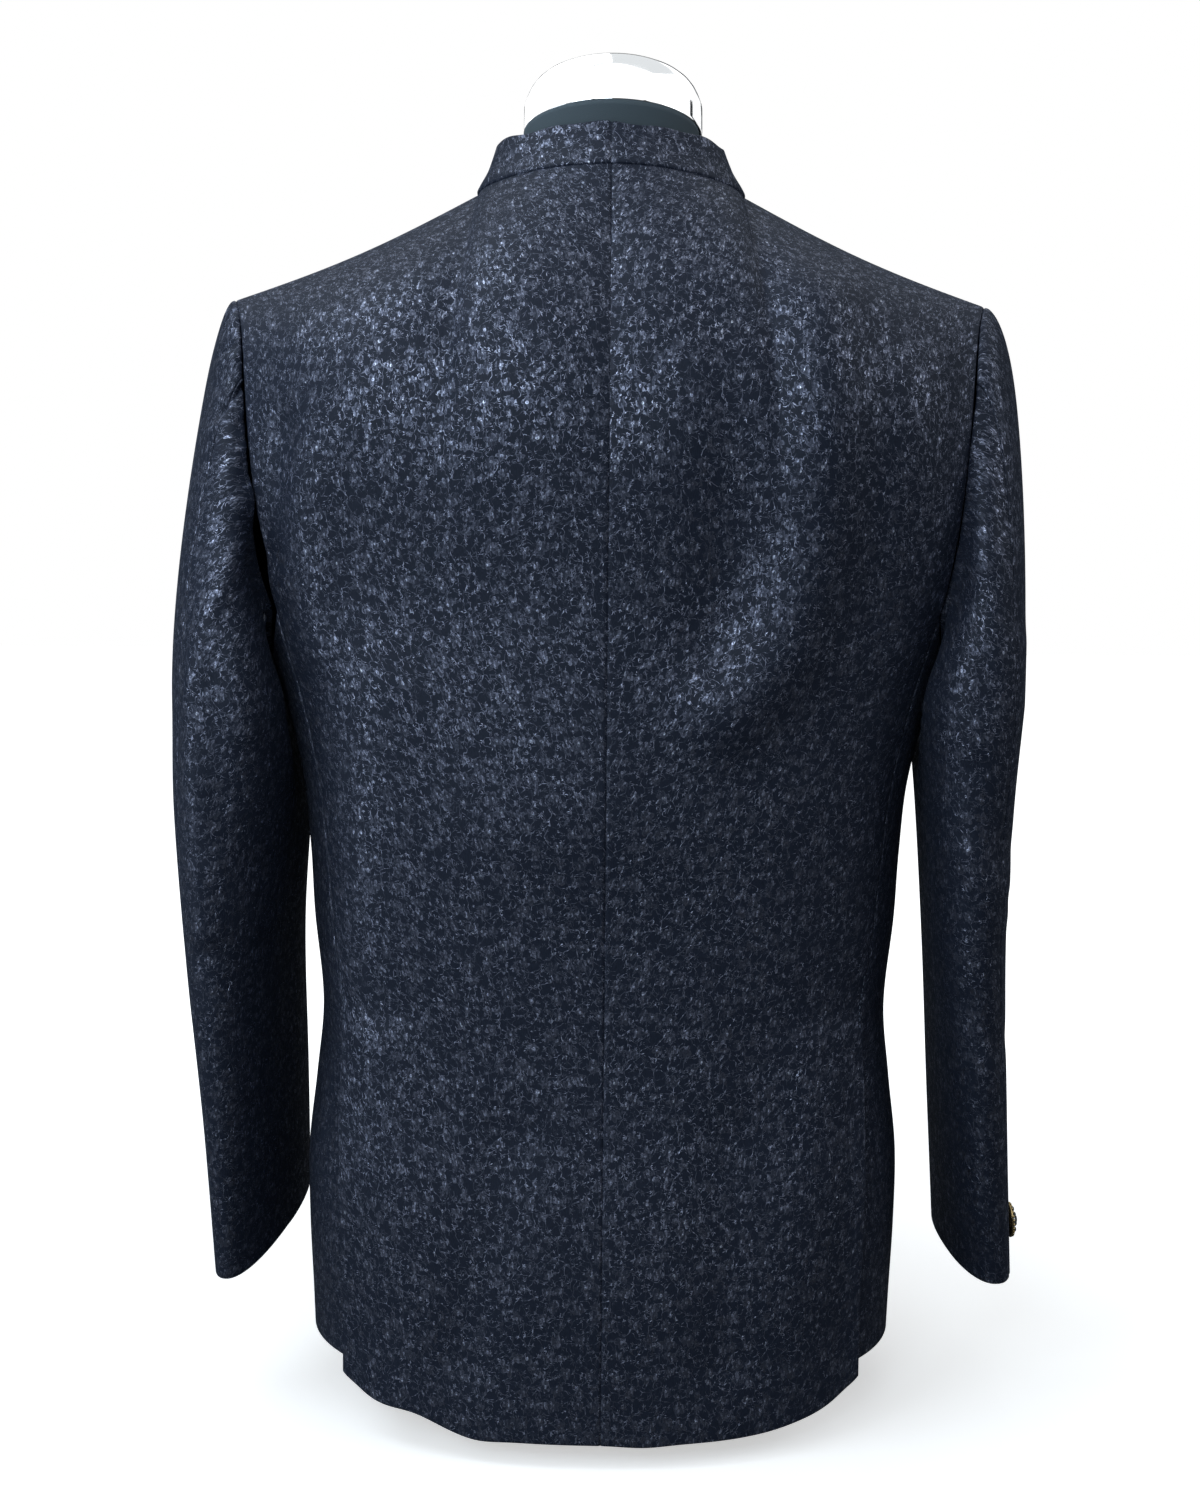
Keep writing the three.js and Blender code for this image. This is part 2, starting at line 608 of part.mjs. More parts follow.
function frontWithLap(across, up) {
  const past = Math.max(across - 1, 0) * FRONT_WIDTH;
  const fromEdge = FRONT_LAP - past + Math.max(1 - across, 0) * FRONT_WIDTH;
  const inside = clamp(1 - fromEdge / HEM.cornerRound) * HEM.cornerRound;
  const hemRise = HEM.cornerRound - Math.sqrt(HEM.cornerRound ** 2 - inside ** 2);
  if (past === 0) return frontPanel(across, up, hemRise);
  const near = 0.1;
  const slope = frontPanel(1 - near, up).x / near;
  const point = frontPanel(1 - past / slope, up, hemRise);
  return point.setX(-point.x);
}

const FRONT_COLUMNS = [
  ...inset(PANEL_COLUMNS.map((across) => 1 - across).reverse(), EDGE, 0),
  1 + FRONT_LAP / 2 / FRONT_WIDTH, 1 + FRONT_LAP / FRONT_WIDTH,
];

for (const { name, mirrored } of SIDES) {
  const rows = inset(PANEL_ROWS, 0, TOP_EDGE);
  addPiece(`front_${name}`, panelGeometry(frontWithLap, FRONT_COLUMNS, rows, {
    mirrored,
    atSeam: frontAtSeam(name),
    lift: (point) => (mirrored ? lapDip(-point.x, FRONT_LAP, LAP) : 0),
  }), BROCADE_COLOUR, 0.62);
}

// ---------- the collar ----------

// The stand collar leans in with the neck, from one front edge round the nape to the other.
function collarSurface(turn, up) {
  const angle = turn * 180;
  const base = neckPoint(Math.abs(angle));
  const inward = new THREE.Vector3(-base.x, -base.y, 0).normalize();
  const lean = COLLAR.lean * (0.75 + 0.25 * Math.cos(rad(angle)));
  const point = base.addScaledVector(inward, lean * up);
  point.z += Math.sqrt(COLLAR.high ** 2 - lean ** 2) * up;
  if (angle < 0) point.x *= -1;
  return point;
}

const NECK_ANGLES = NECK_COLUMNS.map((across) => across / NECK_SHARE * 90);
const HALF_TURN = [...NECK_ANGLES, ...NECK_ANGLES.slice(1).map((angle) => angle + 90)];
const COLLAR_TURNS = [
  ...HALF_TURN.slice(1).reverse().map((angle) => -angle / 180), 0,
  ...HALF_TURN.slice(1).map((angle) => angle / 180),
].map((turn) => turn * (1 - COLLAR.gap / (Math.PI * NECK.side)));

addPiece('collar', wallGeometry(COLLAR_TURNS.length - 1, 3, (i, j) => {
  const turn = COLLAR_TURNS[i];
  const up = mix(COLLAR.lift / COLLAR.high, 1, j / 3);
  const step = 0.004;
  const point = collarSurface(turn, up);
  const slopeTurn = collarSurface(turn + step, up).sub(collarSurface(turn - step, up));
  const slopeUp = collarSurface(turn, up + step).sub(collarSurface(turn, up - step));
  const out = slopeUp.cross(slopeTurn).normalize();
  if (j === 0) out.setZ(0).normalize();
  return { out: point.clone(), in: point.clone().addScaledVector(out, -BROCADE) };
}), BROCADE_COLOUR, 0.6);

// ---------- the sleeves ----------

// The armhole's turns where the panels have their rows and columns, from the shoulder point
// down the back, under the arm and up the front.
const { back: BACK_TURNS, front: FRONT_TURNS } = ARMHOLE_SHARES;
const ARMHOLE_TURNS = [
  ...[0, ...UPPER_ROWS].map((climb) => BACK_TURNS * (1 - climb)).reverse(),
  ...SIDE_COLUMNS.slice(1, -1).map((share) => mix(BACK_TURNS, FRONT_TURNS, share)),
  ...[0, ...UPPER_ROWS].map((climb) => mix(FRONT_TURNS, 1, climb)),
];
const SLEEVE_ROWS = 20;
const SEAM_TURN = 0.0005;
const HEAD_EDGE = 0.0024;

function sleeveWall(side, turns, mirrored) {
  const low = turns[0] + SEAM_TURN;
  const high = turns[turns.length - 1] - SEAM_TURN;
  const last = turns.length - 1;
  return wallGeometry(last, SLEEVE_ROWS, (i, j) => {
    const turn = Math.min(Math.max(turns[last - i], low), high);
    const down = mix(1, HEAD_EDGE, j / SLEEVE_ROWS);
    const point = sleevePoint(side, (turn + 1) % 1, down);
    let through = sleeveOut(side, turn, down);
    if (j === SLEEVE_ROWS) {
      const at = (turn + 1) % 1;
      through = mitred(through, armholeOut(at), ridgeAt(side, at));
    }
    return { out: point, in: point.clone().addScaledVector(through, -BROCADE) };
  }, { mirrored });
}

for (const { name, mirrored } of SIDES) {
  const hind = ARMHOLE_TURNS.findIndex((turn) => turn > HIND_SEAM - SEAM_TURN);
  const forearm = ARMHOLE_TURNS.findIndex((turn) => turn > FOREARM_SEAM - SEAM_TURN);
  const under = ARMHOLE_TURNS.slice(hind, forearm + 1);
  const top = [
    ...ARMHOLE_TURNS.slice(forearm, -1).map((turn) => turn - 1),
    ...ARMHOLE_TURNS.slice(0, hind + 1),
  ];
  addPiece(`sleeve_top_${name}`, sleeveWall(name, top, mirrored), BROCADE_COLOUR, 0.6);
  addPiece(`sleeve_under_${name}`, sleeveWall(name, under, mirrored), BROCADE_COLOUR, 0.6);
}

// ---------- buttons ----------

// Turns a profile of [radius, height] pairs into a solid standing on a surface.
function turned(profile, place, direction, segments = 14) {
  const points = profile.map(([radius, height]) => new THREE.Vector2(radius, height));
  const geometry = new THREE.LatheGeometry(points, segments);
  geometry.applyQuaternion(new THREE.Quaternion().setFromUnitVectors(
    new THREE.Vector3(0, 1, 0), direction,
  ));
  geometry.translate(place.x, place.y, place.z);
  return geometry;
}

// A domed metal button on a short shank, standing just off the cloth.
const DOME = [
  [0, BUTTON.foot], [3, BUTTON.foot], [3, 2.2], [BUTTON.across / 2, 3.4], [BUTTON.across / 2 - 0.9, 5.6],
  [BUTTON.across / 4, BUTTON.high - 0.8], [0, BUTTON.high],
];

// The share up a panel's column where it reaches a height.
function upAt(surface, across, z) {
  let low = 0;
  let high = 1;
  for (let i = 0; i < 30; i += 1) {
    const middle = (low + high) / 2;
    if (surface(across, middle).z < z) low = middle;
    else high = middle;
  }
  return low;
}

for (let i = 0; i < FRONT_BUTTONS.count; i += 1) {
  const z = FRONT_BUTTONS.top - i * FRONT_BUTTONS.step;
  const up = upAt(frontPanel, 1, z);
  const out = outward(frontPanel, 1, up).setX(0).normalize();
  addPiece(`button_front_${i + 1}`, turned(DOME, frontPanel(1, up), out), METAL_COLOUR, 0.3, 1);
}

for (const { name, mirrored } of SIDES) {
  const { turn, down } = CUFF_BUTTON;
  const place = sleevePoint(name, turn, down);
  const out = sleeveOut(name, turn, down);
  if (mirrored) {
    place.x *= -1;
    out.x *= -1;
  }
  addPiece(`button_cuff_${name}`, turned(DOME, place, out), METAL_COLOUR, 0.3, 1);
}

// ---------- the waistcoat under the jacket ----------

// How far in the waistcoat's outer face lies from the jacket's surface.
function waistcoatIn(point) {
  const low = point.y > 0 ? WAISTCOAT.backIn : WAISTCOAT.frontIn;
  return mix(low, WAISTCOAT.shoulderIn, ease((point.z - 560) / 90));
}

// across runs from the centre to the side seam or armhole, up from the hem to the shoulder.
function waistcoatPoint(across, up, face) {
  const back = face === 'back';
  const { vNeck, armLow, armHigh } = WAISTCOAT_EDGES;
  if (up > YOKE_UP) {
    const climb = climbOf(up);
    const inner = back ? 0 : vNeck * climb;
    const outer = mix(armLow, armHigh, ease(climb));
    const share = mix(inner, outer, across);
    const point = climbPoint(Math.abs(share), climb, face);
    return share < 0 ? point.setX(-point.x) : point;
  }
  const seam = read(SIDE_SEAMS, 'z', back ? 'behind' : 'before', YOKE);
  const hem = back ? WAISTCOAT.backHem : WAISTCOAT.frontHem;
  const z = mix(hem, YOKE, up / YOKE_UP);
  const narrow = ease((z - WAISTCOAT.armhole) / (YOKE - WAISTCOAT.armhole));
  const width = mix(90, (back ? seam : 180 - seam) * armLow, narrow);
  return bodyPoint(back ? width * across : 180 - width * across, z);
}

// The back is one piece, from the wearer's right (-1) to their left (1).
function waistcoatBack(across, up) {
  const point = waistcoatPoint(Math.abs(across), up, 'back');
  return across < 0 ? point.setX(-point.x) : point;
}

// A front runs from the side (0) to the centre or the neck's edge (1), and a lap past it.
const waistcoatFront = (across, up) => waistcoatPoint(1 - across, up, 'front');

const WAISTCOAT_ROWS = inset(
  stepsThrough(14, [YOKE_UP * 0.8, YOKE_UP]), 0, TOP_EDGE * 3,
);
const sunk = (point) => -waistcoatIn(point);
const waistcoatAtSeam = (surface, other) => (across, up, out) => (
  up > 1 - 6 * TOP_EDGE ? mitred(out, other(across)) : out);

addPiece('waistcoat_back', panelGeometry(
  waistcoatBack,
  stepsThrough(16, []).map((step) => mix(-0.997, 0.997, step)),
  WAISTCOAT_ROWS,
  {
    thick: SUITING,
    lift: sunk,
    atSeam: waistcoatAtSeam(waistcoatBack, (across) => {
      const out = outward(waistcoatFront, 1 - Math.abs(across), 1);
      return across < 0 ? out.setX(-out.x) : out;
    }),
  },
), SUITING_COLOUR, 0.85);

const WAISTCOAT_COLUMNS = [
  0.003, 0.15, 0.3, 0.45, 0.6, 0.73, 0.84, 0.92, 0.97, 1, 1 + WAISTCOAT.lapShare,
];
for (const { name, mirrored } of SIDES) {
  addPiece(`waistcoat_front_${name}`, panelGeometry(
    waistcoatFront, WAISTCOAT_COLUMNS, WAISTCOAT_ROWS,
    {
      thick: SUITING,
      mirrored,
      lift: (point) => sunk(point)
        + (mirrored ? lapDip(-point.x, WAISTCOAT.lap, WAISTCOAT.dip) : 0),
      atSeam: waistcoatAtSeam(waistcoatFront, (across) => outward(
        (a, up) => waistcoatPoint(a, up, 'back'), Math.max(1 - across, 0), 1)),
    },
  ), SUITING_COLOUR, 0.85);
}

const DISC = [
  [0, BUTTON.foot], [WAISTCOAT_BUTTONS.across / 2, BUTTON.foot],
  [WAISTCOAT_BUTTONS.across / 2, WAISTCOAT_BUTTONS.high], [0, WAISTCOAT_BUTTONS.high],
];

for (let i = 0; i < WAISTCOAT_BUTTONS.count; i += 1) {
  const z = WAISTCOAT_BUTTONS.top - i * WAISTCOAT_BUTTONS.step;
  const up = upAt(frontPanel, 1, z);
  const out = outward(frontPanel, 1, up).setX(0).normalize();
  const place = frontPanel(1, up).addScaledVector(out, -WAISTCOAT.frontIn);
  addPiece(`button_waistcoat_${i + 1}`, turned(DISC, place, out, 12), 0x2a2d33, 0.5);
}

// ---------- the dress form ----------

const FORM_COLUMNS = 32;
const formRing = (row) => Array.from({ length: FORM_COLUMNS }, (_, i) => {
  const angle = i / FORM_COLUMNS * 2 * Math.PI;
  const cos = Math.cos(angle);
  const y = (cos > 0 ? row.back : row.front) * signedPower(cos, 2 / row.power);
  const x = row.side * signedPower(Math.sin(angle), 2 / row.power);
  return new THREE.Vector3(x, y, row.z + y * Math.tan(rad(row.tip)));
});

// A closed solid through rings, each listed from the centre back toward the wearer's left.
function ringSolid(rings) {
  const count = rings[0].length;
  const vertices = rings.flat();
  const middle = (ring) => ring.reduce((sum, p) => sum.add(p), new THREE.Vector3())
    .divideScalar(count);
  const low = vertices.push(middle(rings[0])) - 1;
  const high = vertices.push(middle(rings[rings.length - 1])) - 1;
  const index = [];
  for (let j = 0; j < rings.length - 1; j += 1) {
    for (let i = 0; i < count; i += 1) {
      const a = j * count + i;
      const b = j * count + (i + 1) % count;
      index.push(a, a + count, b, b, a + count, b + count);
    }
  }
  const base = (rings.length - 1) * count;
  for (let i = 0; i < count; i += 1) {
    const next = (i + 1) % count;
    index.push(low, i, next, high, base + next, base + i);
  }
  return indexedGeometry(vertices, index);
}

addPiece('form_torso', ringSolid(FORM.map(formRing)), 0x3f4a54, 0.75);

// A polished cap closes the neck: an upright wall and a low dome, tipped like the neck.
const crown = FORM[FORM.length - 1];
const tip = rad(crown.tip);
const capAxis = new THREE.Vector3(0, -Math.sin(tip), Math.cos(tip));
const capFoot = new THREE.Vector3(
  NECK_CAP.x, NECK_CAP.back, crown.z + NECK_CAP.back * Math.tan(tip),
);
addPiece('neck_cap', turned([
  [0, CAP_RINGS[0].up],
  ...CAP_RINGS.map((ring) => [NECK_CAP.radius - ring.in, ring.up]),
  [0, CAP_TOP],
], capFoot, capAxis, 28), 0xd8dce0, 0.12, 1);

export default group;
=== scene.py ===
import math

import bmesh
import bpy
import numpy as np
from mathutils import Matrix, Vector


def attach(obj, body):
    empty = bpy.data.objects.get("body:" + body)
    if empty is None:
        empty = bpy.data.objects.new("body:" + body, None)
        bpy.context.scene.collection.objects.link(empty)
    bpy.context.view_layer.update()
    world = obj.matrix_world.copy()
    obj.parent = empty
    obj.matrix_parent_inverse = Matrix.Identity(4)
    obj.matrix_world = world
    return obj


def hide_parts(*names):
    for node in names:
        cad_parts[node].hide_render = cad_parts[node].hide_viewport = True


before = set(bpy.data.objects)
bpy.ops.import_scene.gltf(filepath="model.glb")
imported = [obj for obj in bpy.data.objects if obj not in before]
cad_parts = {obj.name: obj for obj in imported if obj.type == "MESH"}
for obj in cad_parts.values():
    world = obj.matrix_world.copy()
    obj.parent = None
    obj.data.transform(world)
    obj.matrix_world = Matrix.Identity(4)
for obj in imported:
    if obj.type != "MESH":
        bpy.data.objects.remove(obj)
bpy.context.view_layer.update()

# A bandhgala jacket and its waistcoat, buttoned on a limbless dress form. Metres, +Z up.
# The wearer faces -Y and the wearer's left is +X. Tables of sizes are in millimetres.

# ---------- The jacket's body: where its cloth lies ----------
# The silk brocade is cut in two backs, two side panels and two fronts. These are the
# sections that the sewn body takes on the form, from the hem up to the armholes.

MM = 0.001
SQUARENESS = 2 / 2.3        # power that rounds a section between an ellipse and a box
SIDE, BEHIND, BEFORE = 1, 2, 3
BODY = [                    # height, half width, depth behind, depth before
    (0, 179, 135, 120), (60, 181, 130, 116), (110, 183, 127, 113), (155, 183, 122, 111),
    (200, 178, 112, 109), (245, 174, 102, 107), (300, 179, 95, 108), (340, 181, 95, 111),
    (385, 185, 101, 117), (440, 198, 109, 125), (487, 211, 114, 129), (530, 216, 117, 130),
]
SEAM_BEHIND, SEAM_BEFORE = 1, 2
SIDE_SEAMS = [              # height, and degrees from the centre back to the side's seams
    (0, 54, 108), (130, 52.5, 108), (245, 55, 108), (340, 58, 108), (487, 64, 110),
]
YOKE, UNDERARM = 487, 457   # where the side seams end, and the bottom of the armholes
NECK_SHARE = 0.36           # share of a panel's top edge that the neckline takes
NECK_SIDE, NECK_DEPTH, NAPE, NECK_SHOULDER, THROAT = 78, 62, 741, 732, 688
SHOULDER = np.array([223.0, 8.0, 668.0])
SHOULDER_SAG = 4.5
# across from the centre to the armhole, pull up from the yoke, pull over and up at the top
BACK_CLIMB = [(0, 280, 230, 340), (0.36, 280, 435, 150), (0.7, 250, 400, 90), (1, 195, 170, 50)]
FRONT_CLIMB = [(0, 230, 150, 200), (0.36, 250, 350, 170), (0.7, 240, 300, 90), (1, 180, 150, 50)]
ARMHOLE_FLARE = {"back": (22, 50), "front": (-52, -18)}
SHOULDER_FLARE = 52
HEM_BACK, HEM_VENT, HEM_POWER, HEM_SIDE, HEM_FRONT, HEM_ROUND = 14.5, 37, 4.2, 43, 32, 42
VENT_TOP, VENT_RUN, VENT_UNDERLAP = 236, 22, 34
YOKE_UP = 0.62              # share of a panel's rows below the yoke
MM_PER_DEGREE = 2.6
SIDES = (("left", False), ("right", True))
EDGE_ANGLE = 55             # degrees a corner turns through before it is rounded


def mix(a, b, share):
    return a + (b - a) * share


def ease(share):
    share = np.clip(share, 0, 1)
    return share * share * (3 - 2 * share)


def signed_power(value, power):
    return np.sign(value) * np.abs(value) ** power


def hermite(start, leave, end, arrive, t):
    t2, t3 = t * t, t * t * t
    return ((2 * t3 - 3 * t2 + 1) * start + (t3 - 2 * t2 + t) * leave
            + (3 * t2 - 2 * t3) * end + (t3 - t2) * arrive)


def read(rows, column, at):
    """One column of a table at any place along its first, on a smooth curve through it."""
    key, value = np.array(rows, float)[:, 0], np.array(rows, float)[:, column]
    at = np.clip(at, key[0], key[-1])
    slope = np.gradient(value)
    slope[1:-1] = (value[2:] - value[:-2]) / (key[2:] - key[:-2])
    slope[0] = (value[1] - value[0]) / (key[1] - key[0])
    slope[-1] = (value[-1] - value[-2]) / (key[-1] - key[-2])
    i = np.clip(np.searchsorted(key, at, side="right") - 1, 0, len(key) - 2)
    span = key[i + 1] - key[i]
    return hermite(value[i], slope[i] * span, value[i + 1], slope[i + 1] * span,
                   (at - key[i]) / span)


def body_point(angle, z):
    """A point below the yoke, at an angle from the centre back."""
    angle, z = np.broadcast_arrays(np.asarray(angle, float), np.asarray(z, float))
    cos = np.cos(np.radians(angle))
    depth = np.where(cos > 0, read(BODY, BEHIND, z), read(BODY, BEFORE, z))
    return np.stack([
        read(BODY, SIDE, z) * signed_power(np.sin(np.radians(angle)), SQUARENESS),
        depth * signed_power(cos, SQUARENESS), z,
    ], -1)


def neck_point(angle):
    """A point on the neckline, at an angle from the nape."""
    sin, cos = np.sin(np.radians(angle)), np.cos(np.radians(angle))
    z = np.where(cos > 0, NAPE - (NAPE - NECK_SHOULDER) * sin ** 2,
                 NECK_SHOULDER - (NECK_SHOULDER - THROAT) * cos ** 2)
    return np.stack([NECK_SIDE * sin, NECK_DEPTH * cos, z], -1)


def top_edge(across, face):
    """A panel's top: from the centre along the neckline and then the shoulder seam."""
    turn = 90 * np.minimum(across, NECK_SHARE) / NECK_SHARE
    neck = neck_point(turn if face == "back" else 180 - turn)
    share = np.clip((across - NECK_SHARE) / (1 - NECK_SHARE), 0, 1)[..., None]
    shoulder = mix(neck_point(np.full_like(turn, 90)), SHOULDER, share)
    shoulder[..., 2] -= SHOULDER_SAG * np.sin(math.pi * share[..., 0])
    return np.where((across <= NECK_SHARE)[..., None], neck, shoulder)


def climb_point(across, up, face):
    """A point above the yoke: across from the centre to the armhole, up from 0 to 1."""
    across, up = np.broadcast_arrays(np.asarray(across, float), np.asarray(up, float))
    back = face == "back"
    seam = float(read(SIDE_SEAMS, SEAM_BEHIND if back else SEAM_BEFORE, YOKE))
    angle = seam * across if back else 180 - (180 - seam) * across
    table = BACK_CLIMB if back else FRONT_CLIMB
    pull = read(table, 1, across)[..., None] / 20
    leave = (body_point(angle, YOKE + 10) - body_point(angle, YOKE - 10)) * pull
    leave[..., :2] += np.array(ARMHOLE_FLARE[face]) * (across ** 4)[..., None]
    arrive = np.stack([SHOULDER_FLARE * across ** 4,
                       (-1 if back else 1) * read(table, 2, across),
                       read(table, 3, across)], -1)
    return hermite(body_point(angle, YOKE), leave, top_edge(across, face), arrive, up[..., None])


def hem_height(angle):
    behind = SIDE_SEAMS[0][SEAM_BEHIND]
    return np.where(
        angle < behind,
        mix(HEM_BACK, HEM_VENT, (np.clip(angle, 0, behind) / behind) ** HEM_POWER),
        mix(HEM_SIDE, HEM_FRONT, ease((angle - behind) / (180 - behind))))


def climb_of(up):
    return np.clip((up - YOKE_UP) / (1 - YOKE_UP), 0, 1)


def back_panel(across, up):
    hem = hem_height(across * SIDE_SEAMS[0][SEAM_BEHIND] * 0.999)
    z = mix(hem, YOKE, np.minimum(up / YOKE_UP, 1))
    low = body_point(across * read(SIDE_SEAMS, SEAM_BEHIND, z), z)
    high = climb_point(across, climb_of(up), "back")
    return np.where((up > YOKE_UP)[..., None], high, low)


def front_panel(across, up, hem_rise=0.0):
    hem = hem_height(mix(SIDE_SEAMS[0][SEAM_BEFORE], 180, across)) + hem_rise
    z = mix(hem, YOKE, np.minimum(up / YOKE_UP, 1))
    low = body_point(mix(read(SIDE_SEAMS, SEAM_BEFORE, z), 180, across), z)
    high = climb_point(1 - across, climb_of(up), "front")
    return np.where((up > YOKE_UP)[..., None], high, low)


def underarm_height(angle):
    behind, before = SIDE_SEAMS[-1][SEAM_BEHIND], SIDE_SEAMS[-1][SEAM_BEFORE]
    share = np.abs(angle - (behind + before) / 2) / ((before - behind) / 2)
    return mix(UNDERARM, YOKE, np.minimum(share, 1) ** 2.4)


def side_panel(across, up):
    """The side, with the underlap of the vent behind its back seam."""
    def angle_at(z):
        lap = VENT_UNDERLAP * ease((VENT_TOP - z) / VENT_RUN)
        behind = read(SIDE_SEAMS, SEAM_BEHIND, z) - lap / MM_PER_DEGREE
        return mix(behind, read(SIDE_SEAMS, SEAM_BEFORE, z), across)
    hem = hem_height(np.maximum(angle_at(np.zeros_like(across)), SIDE_SEAMS[0][SEAM_BEHIND] + 0.1))
    z = mix(hem, underarm_height(angle_at(np.full_like(across, float(YOKE)))), up)
    return body_point(angle_at(z), z)


def fine_steps(length, step, low=True, high=True):
    """Shares of a length at even steps, with closer ones beside a sewn edge."""
    near = np.array([0, 0.5, 1.1, 1.9, 3.0, 4.6]) / length
    count = max(int(round(length / step)), 4)
    steps = np.linspace(0, 1, count + 1)
    if low:
        steps = np.concatenate([near, steps[steps > near[-1] + 0.4 * step / length]])
    if high:
        far = (1 - near)[::-1]
        steps = np.concatenate([steps[steps < far[0] - 0.4 * step / length], far])
    return steps


def mesh_of(bm, name):
    mesh = bpy.data.meshes.new(name)
    bm.to_mesh(mesh)
    bm.free()
    return mesh


def grid_mesh(name, points, flip, uv_origin=(0.0, 0.0)):
    """A mesh from points[column, row], with a metric UV map along the cloth."""
    columns, rows = points.shape[:2]
    bm = bmesh.new()
    bmesh.ops.create_grid(bm, x_segments=columns - 1, y_segments=rows - 1, size=0.5)
    if flip:
        bmesh.ops.reverse_faces(bm, faces=bm.faces)
    mesh = mesh_of(bm, name)
    place = np.empty(len(mesh.vertices) * 3, np.float32)
    mesh.vertices.foreach_get("co", place)
    place = place.reshape(-1, 3)
    i = np.rint((place[:, 0] + 0.5) * (columns - 1)).astype(int)
    j = np.rint((place[:, 1] + 0.5) * (rows - 1)).astype(int)
    mesh.vertices.foreach_set("co", (points[i, j] * MM).astype(np.float32).ravel())
    along = np.zeros((columns, rows))
    along[1:] = np.cumsum(np.linalg.norm(np.diff(points, axis=0), axis=2), axis=0)
    along -= along[columns // 2] - along[columns // 2, 0]
    up = np.zeros((columns, rows))
    up[:, 1:] = np.cumsum(np.linalg.norm(np.diff(points, axis=1), axis=2), axis=1)
    uv = np.stack([along * MM + uv_origin[0], up * MM + uv_origin[1]], -1)[i, j]
    corner = np.empty(len(mesh.loops), np.int32)
    mesh.loops.foreach_get("vertex_index", corner)
    layer = mesh.uv_layers.new(name="cloth", do_init=False)
    layer.uv.foreach_set("vector", uv[corner].astype(np.float32).ravel())
    mesh.shade_smooth()
    return mesh


def surface_out(points, sign):
    """The way out at each point of a grid, from its neighbours."""
    cross = np.cross(np.gradient(points, axis=1), np.gradient(points, axis=0)) * sign
    return cross / np.maximum(np.linalg.norm(cross, axis=2, keepdims=True), 1e-9)


def edge_distance(points, axis, end):
    """How far each point of a grid lies from one of its edges, in millimetres."""
    step = np.linalg.norm(np.diff(points, axis=axis), axis=2)
    total = np.zeros(points.shape[:2])
    if axis == 0:
        total[1:] = np.cumsum(step, axis=0)
        return total if end == 0 else total[-1:] - total
    total[:, 1:] = np.cumsum(step, axis=1)
    return total if end == 0 else total[:, -1:] - total


def seam_roll(points, axis, end, depth=1.1, width=2.6):
    """How far cloth rolls in where it turns under at the seam along one of its edges."""
    near = 1 - np.clip(edge_distance(points, axis, end) / width, 0, 1)
    return -depth * (1 - np.sqrt(np.clip(1 - near ** 2, 0, 1)))


def add_piece(name, mesh, slot, *nodes):
    """A piece that rides on the one body, in place of the solids named."""
    piece = bpy.data.objects.new(name, mesh)
    bpy.context.scene.collection.objects.link(piece)
    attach(piece, "root")
    if nodes:
        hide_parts(*nodes)
    return piece


def cloth_piece(name, points, flip, thick, materials, uv_origin, flat, area, *nodes,
                rim=0.45, slot="brocade"):
    """Cloth as an outer face and its lining, with softly rounded edges."""
    mesh = grid_mesh(name, points, flip, uv_origin)
    for material in materials:
        mesh.materials.append(material)
    piece = add_piece(name, mesh, slot, *nodes)
    wall = piece.modifiers.new("wall", "SOLIDIFY")
    wall.thickness = thick * MM
    wall.offset = -1
    wall.material_offset = len(materials) - 1
    edge = piece.modifiers.new("edge", "BEVEL")
    edge.width = rim * MM
    edge.segments = 2
    edge.limit_method = "ANGLE"
    edge.angle_limit = math.radians(EDGE_ANGLE)


# Soft folds as seen from behind: the half width, how far each stands out, or sinks in if
# negative, and the places in width and height that it runs through.
BACK_FOLDS = [
    (98, 12.5, (-80, 345), (80, 345)), (150, 9, (-50, 262), (50, 262)),
    (70, -6, (-70, 170), (70, 170)), (52, 5.5, (8, 640), (12, 380)),
    (25, 10.5, (-113, 655), (-117, 603), (-116, 538), (-109, 503), (-98, 473), (-84, 455),
     (-66, 438)),
    (19, -4, (-62, 650), (-68, 520), (-60, 475)), (15, 2.5, (-167, 620), (-167, 470)),
    (11, -4, (186, 592), (194, 520)), (16, 3, (170, 560), (166, 470)),
    (18, -2, (-50, 690), (-26, 612)), (11, 2.2, (-184, 630), (-186, 490)),
    (26, 4, (128, 440), (134, 265), (126, 70)), (12, -2, (166, 240), (160, 60)),
    (17, -2.5, (54, 188), (82, 60)), (17, -2.5, (-70, 188), (-70, 60)),
    (20, 2.5, (-128, 205), (-124, 50)), (20, 2, (112, 660), (150, 590)),
]
HEM_SWAY = [(110, 21, 7.5), (70, 14, -1.5), (-25, 16, -1.5), (-118, 18, 1.5)]
HEM_SWAY_HIGH = 90          # how far up the sway of the hem is felt
BLADE_X, BLADE_Z, BLADE_WIDE, BLADE_PROUD = 96, 600, 52, 1.2
FOLDS_BEHIND, FOLDS_RUN = 20, 50            # the depth where folds begin, and grow full over


def folds_at(points, table):
    """How far cloth stands out at each point because of a table of folds."""
    x, z = points[..., 0], points[..., 2]
    out = np.zeros(x.shape)
    for wide, proud, *places in table:
        off = np.full(x.shape, 1e6)
        for (x0, z0), (x1, z1) in zip(places, places[1:]):
            dx, dz = x1 - x0, z1 - z0
            along = np.clip(((x - x0) * dx + (z - z0) * dz) / (dx * dx + dz * dz), 0, 1)
            off = np.minimum(off, np.hypot(x - x0 - along * dx, z - z0 - along * dz))
        out = out + proud * np.exp(-(off / wide) ** 2)
    return out


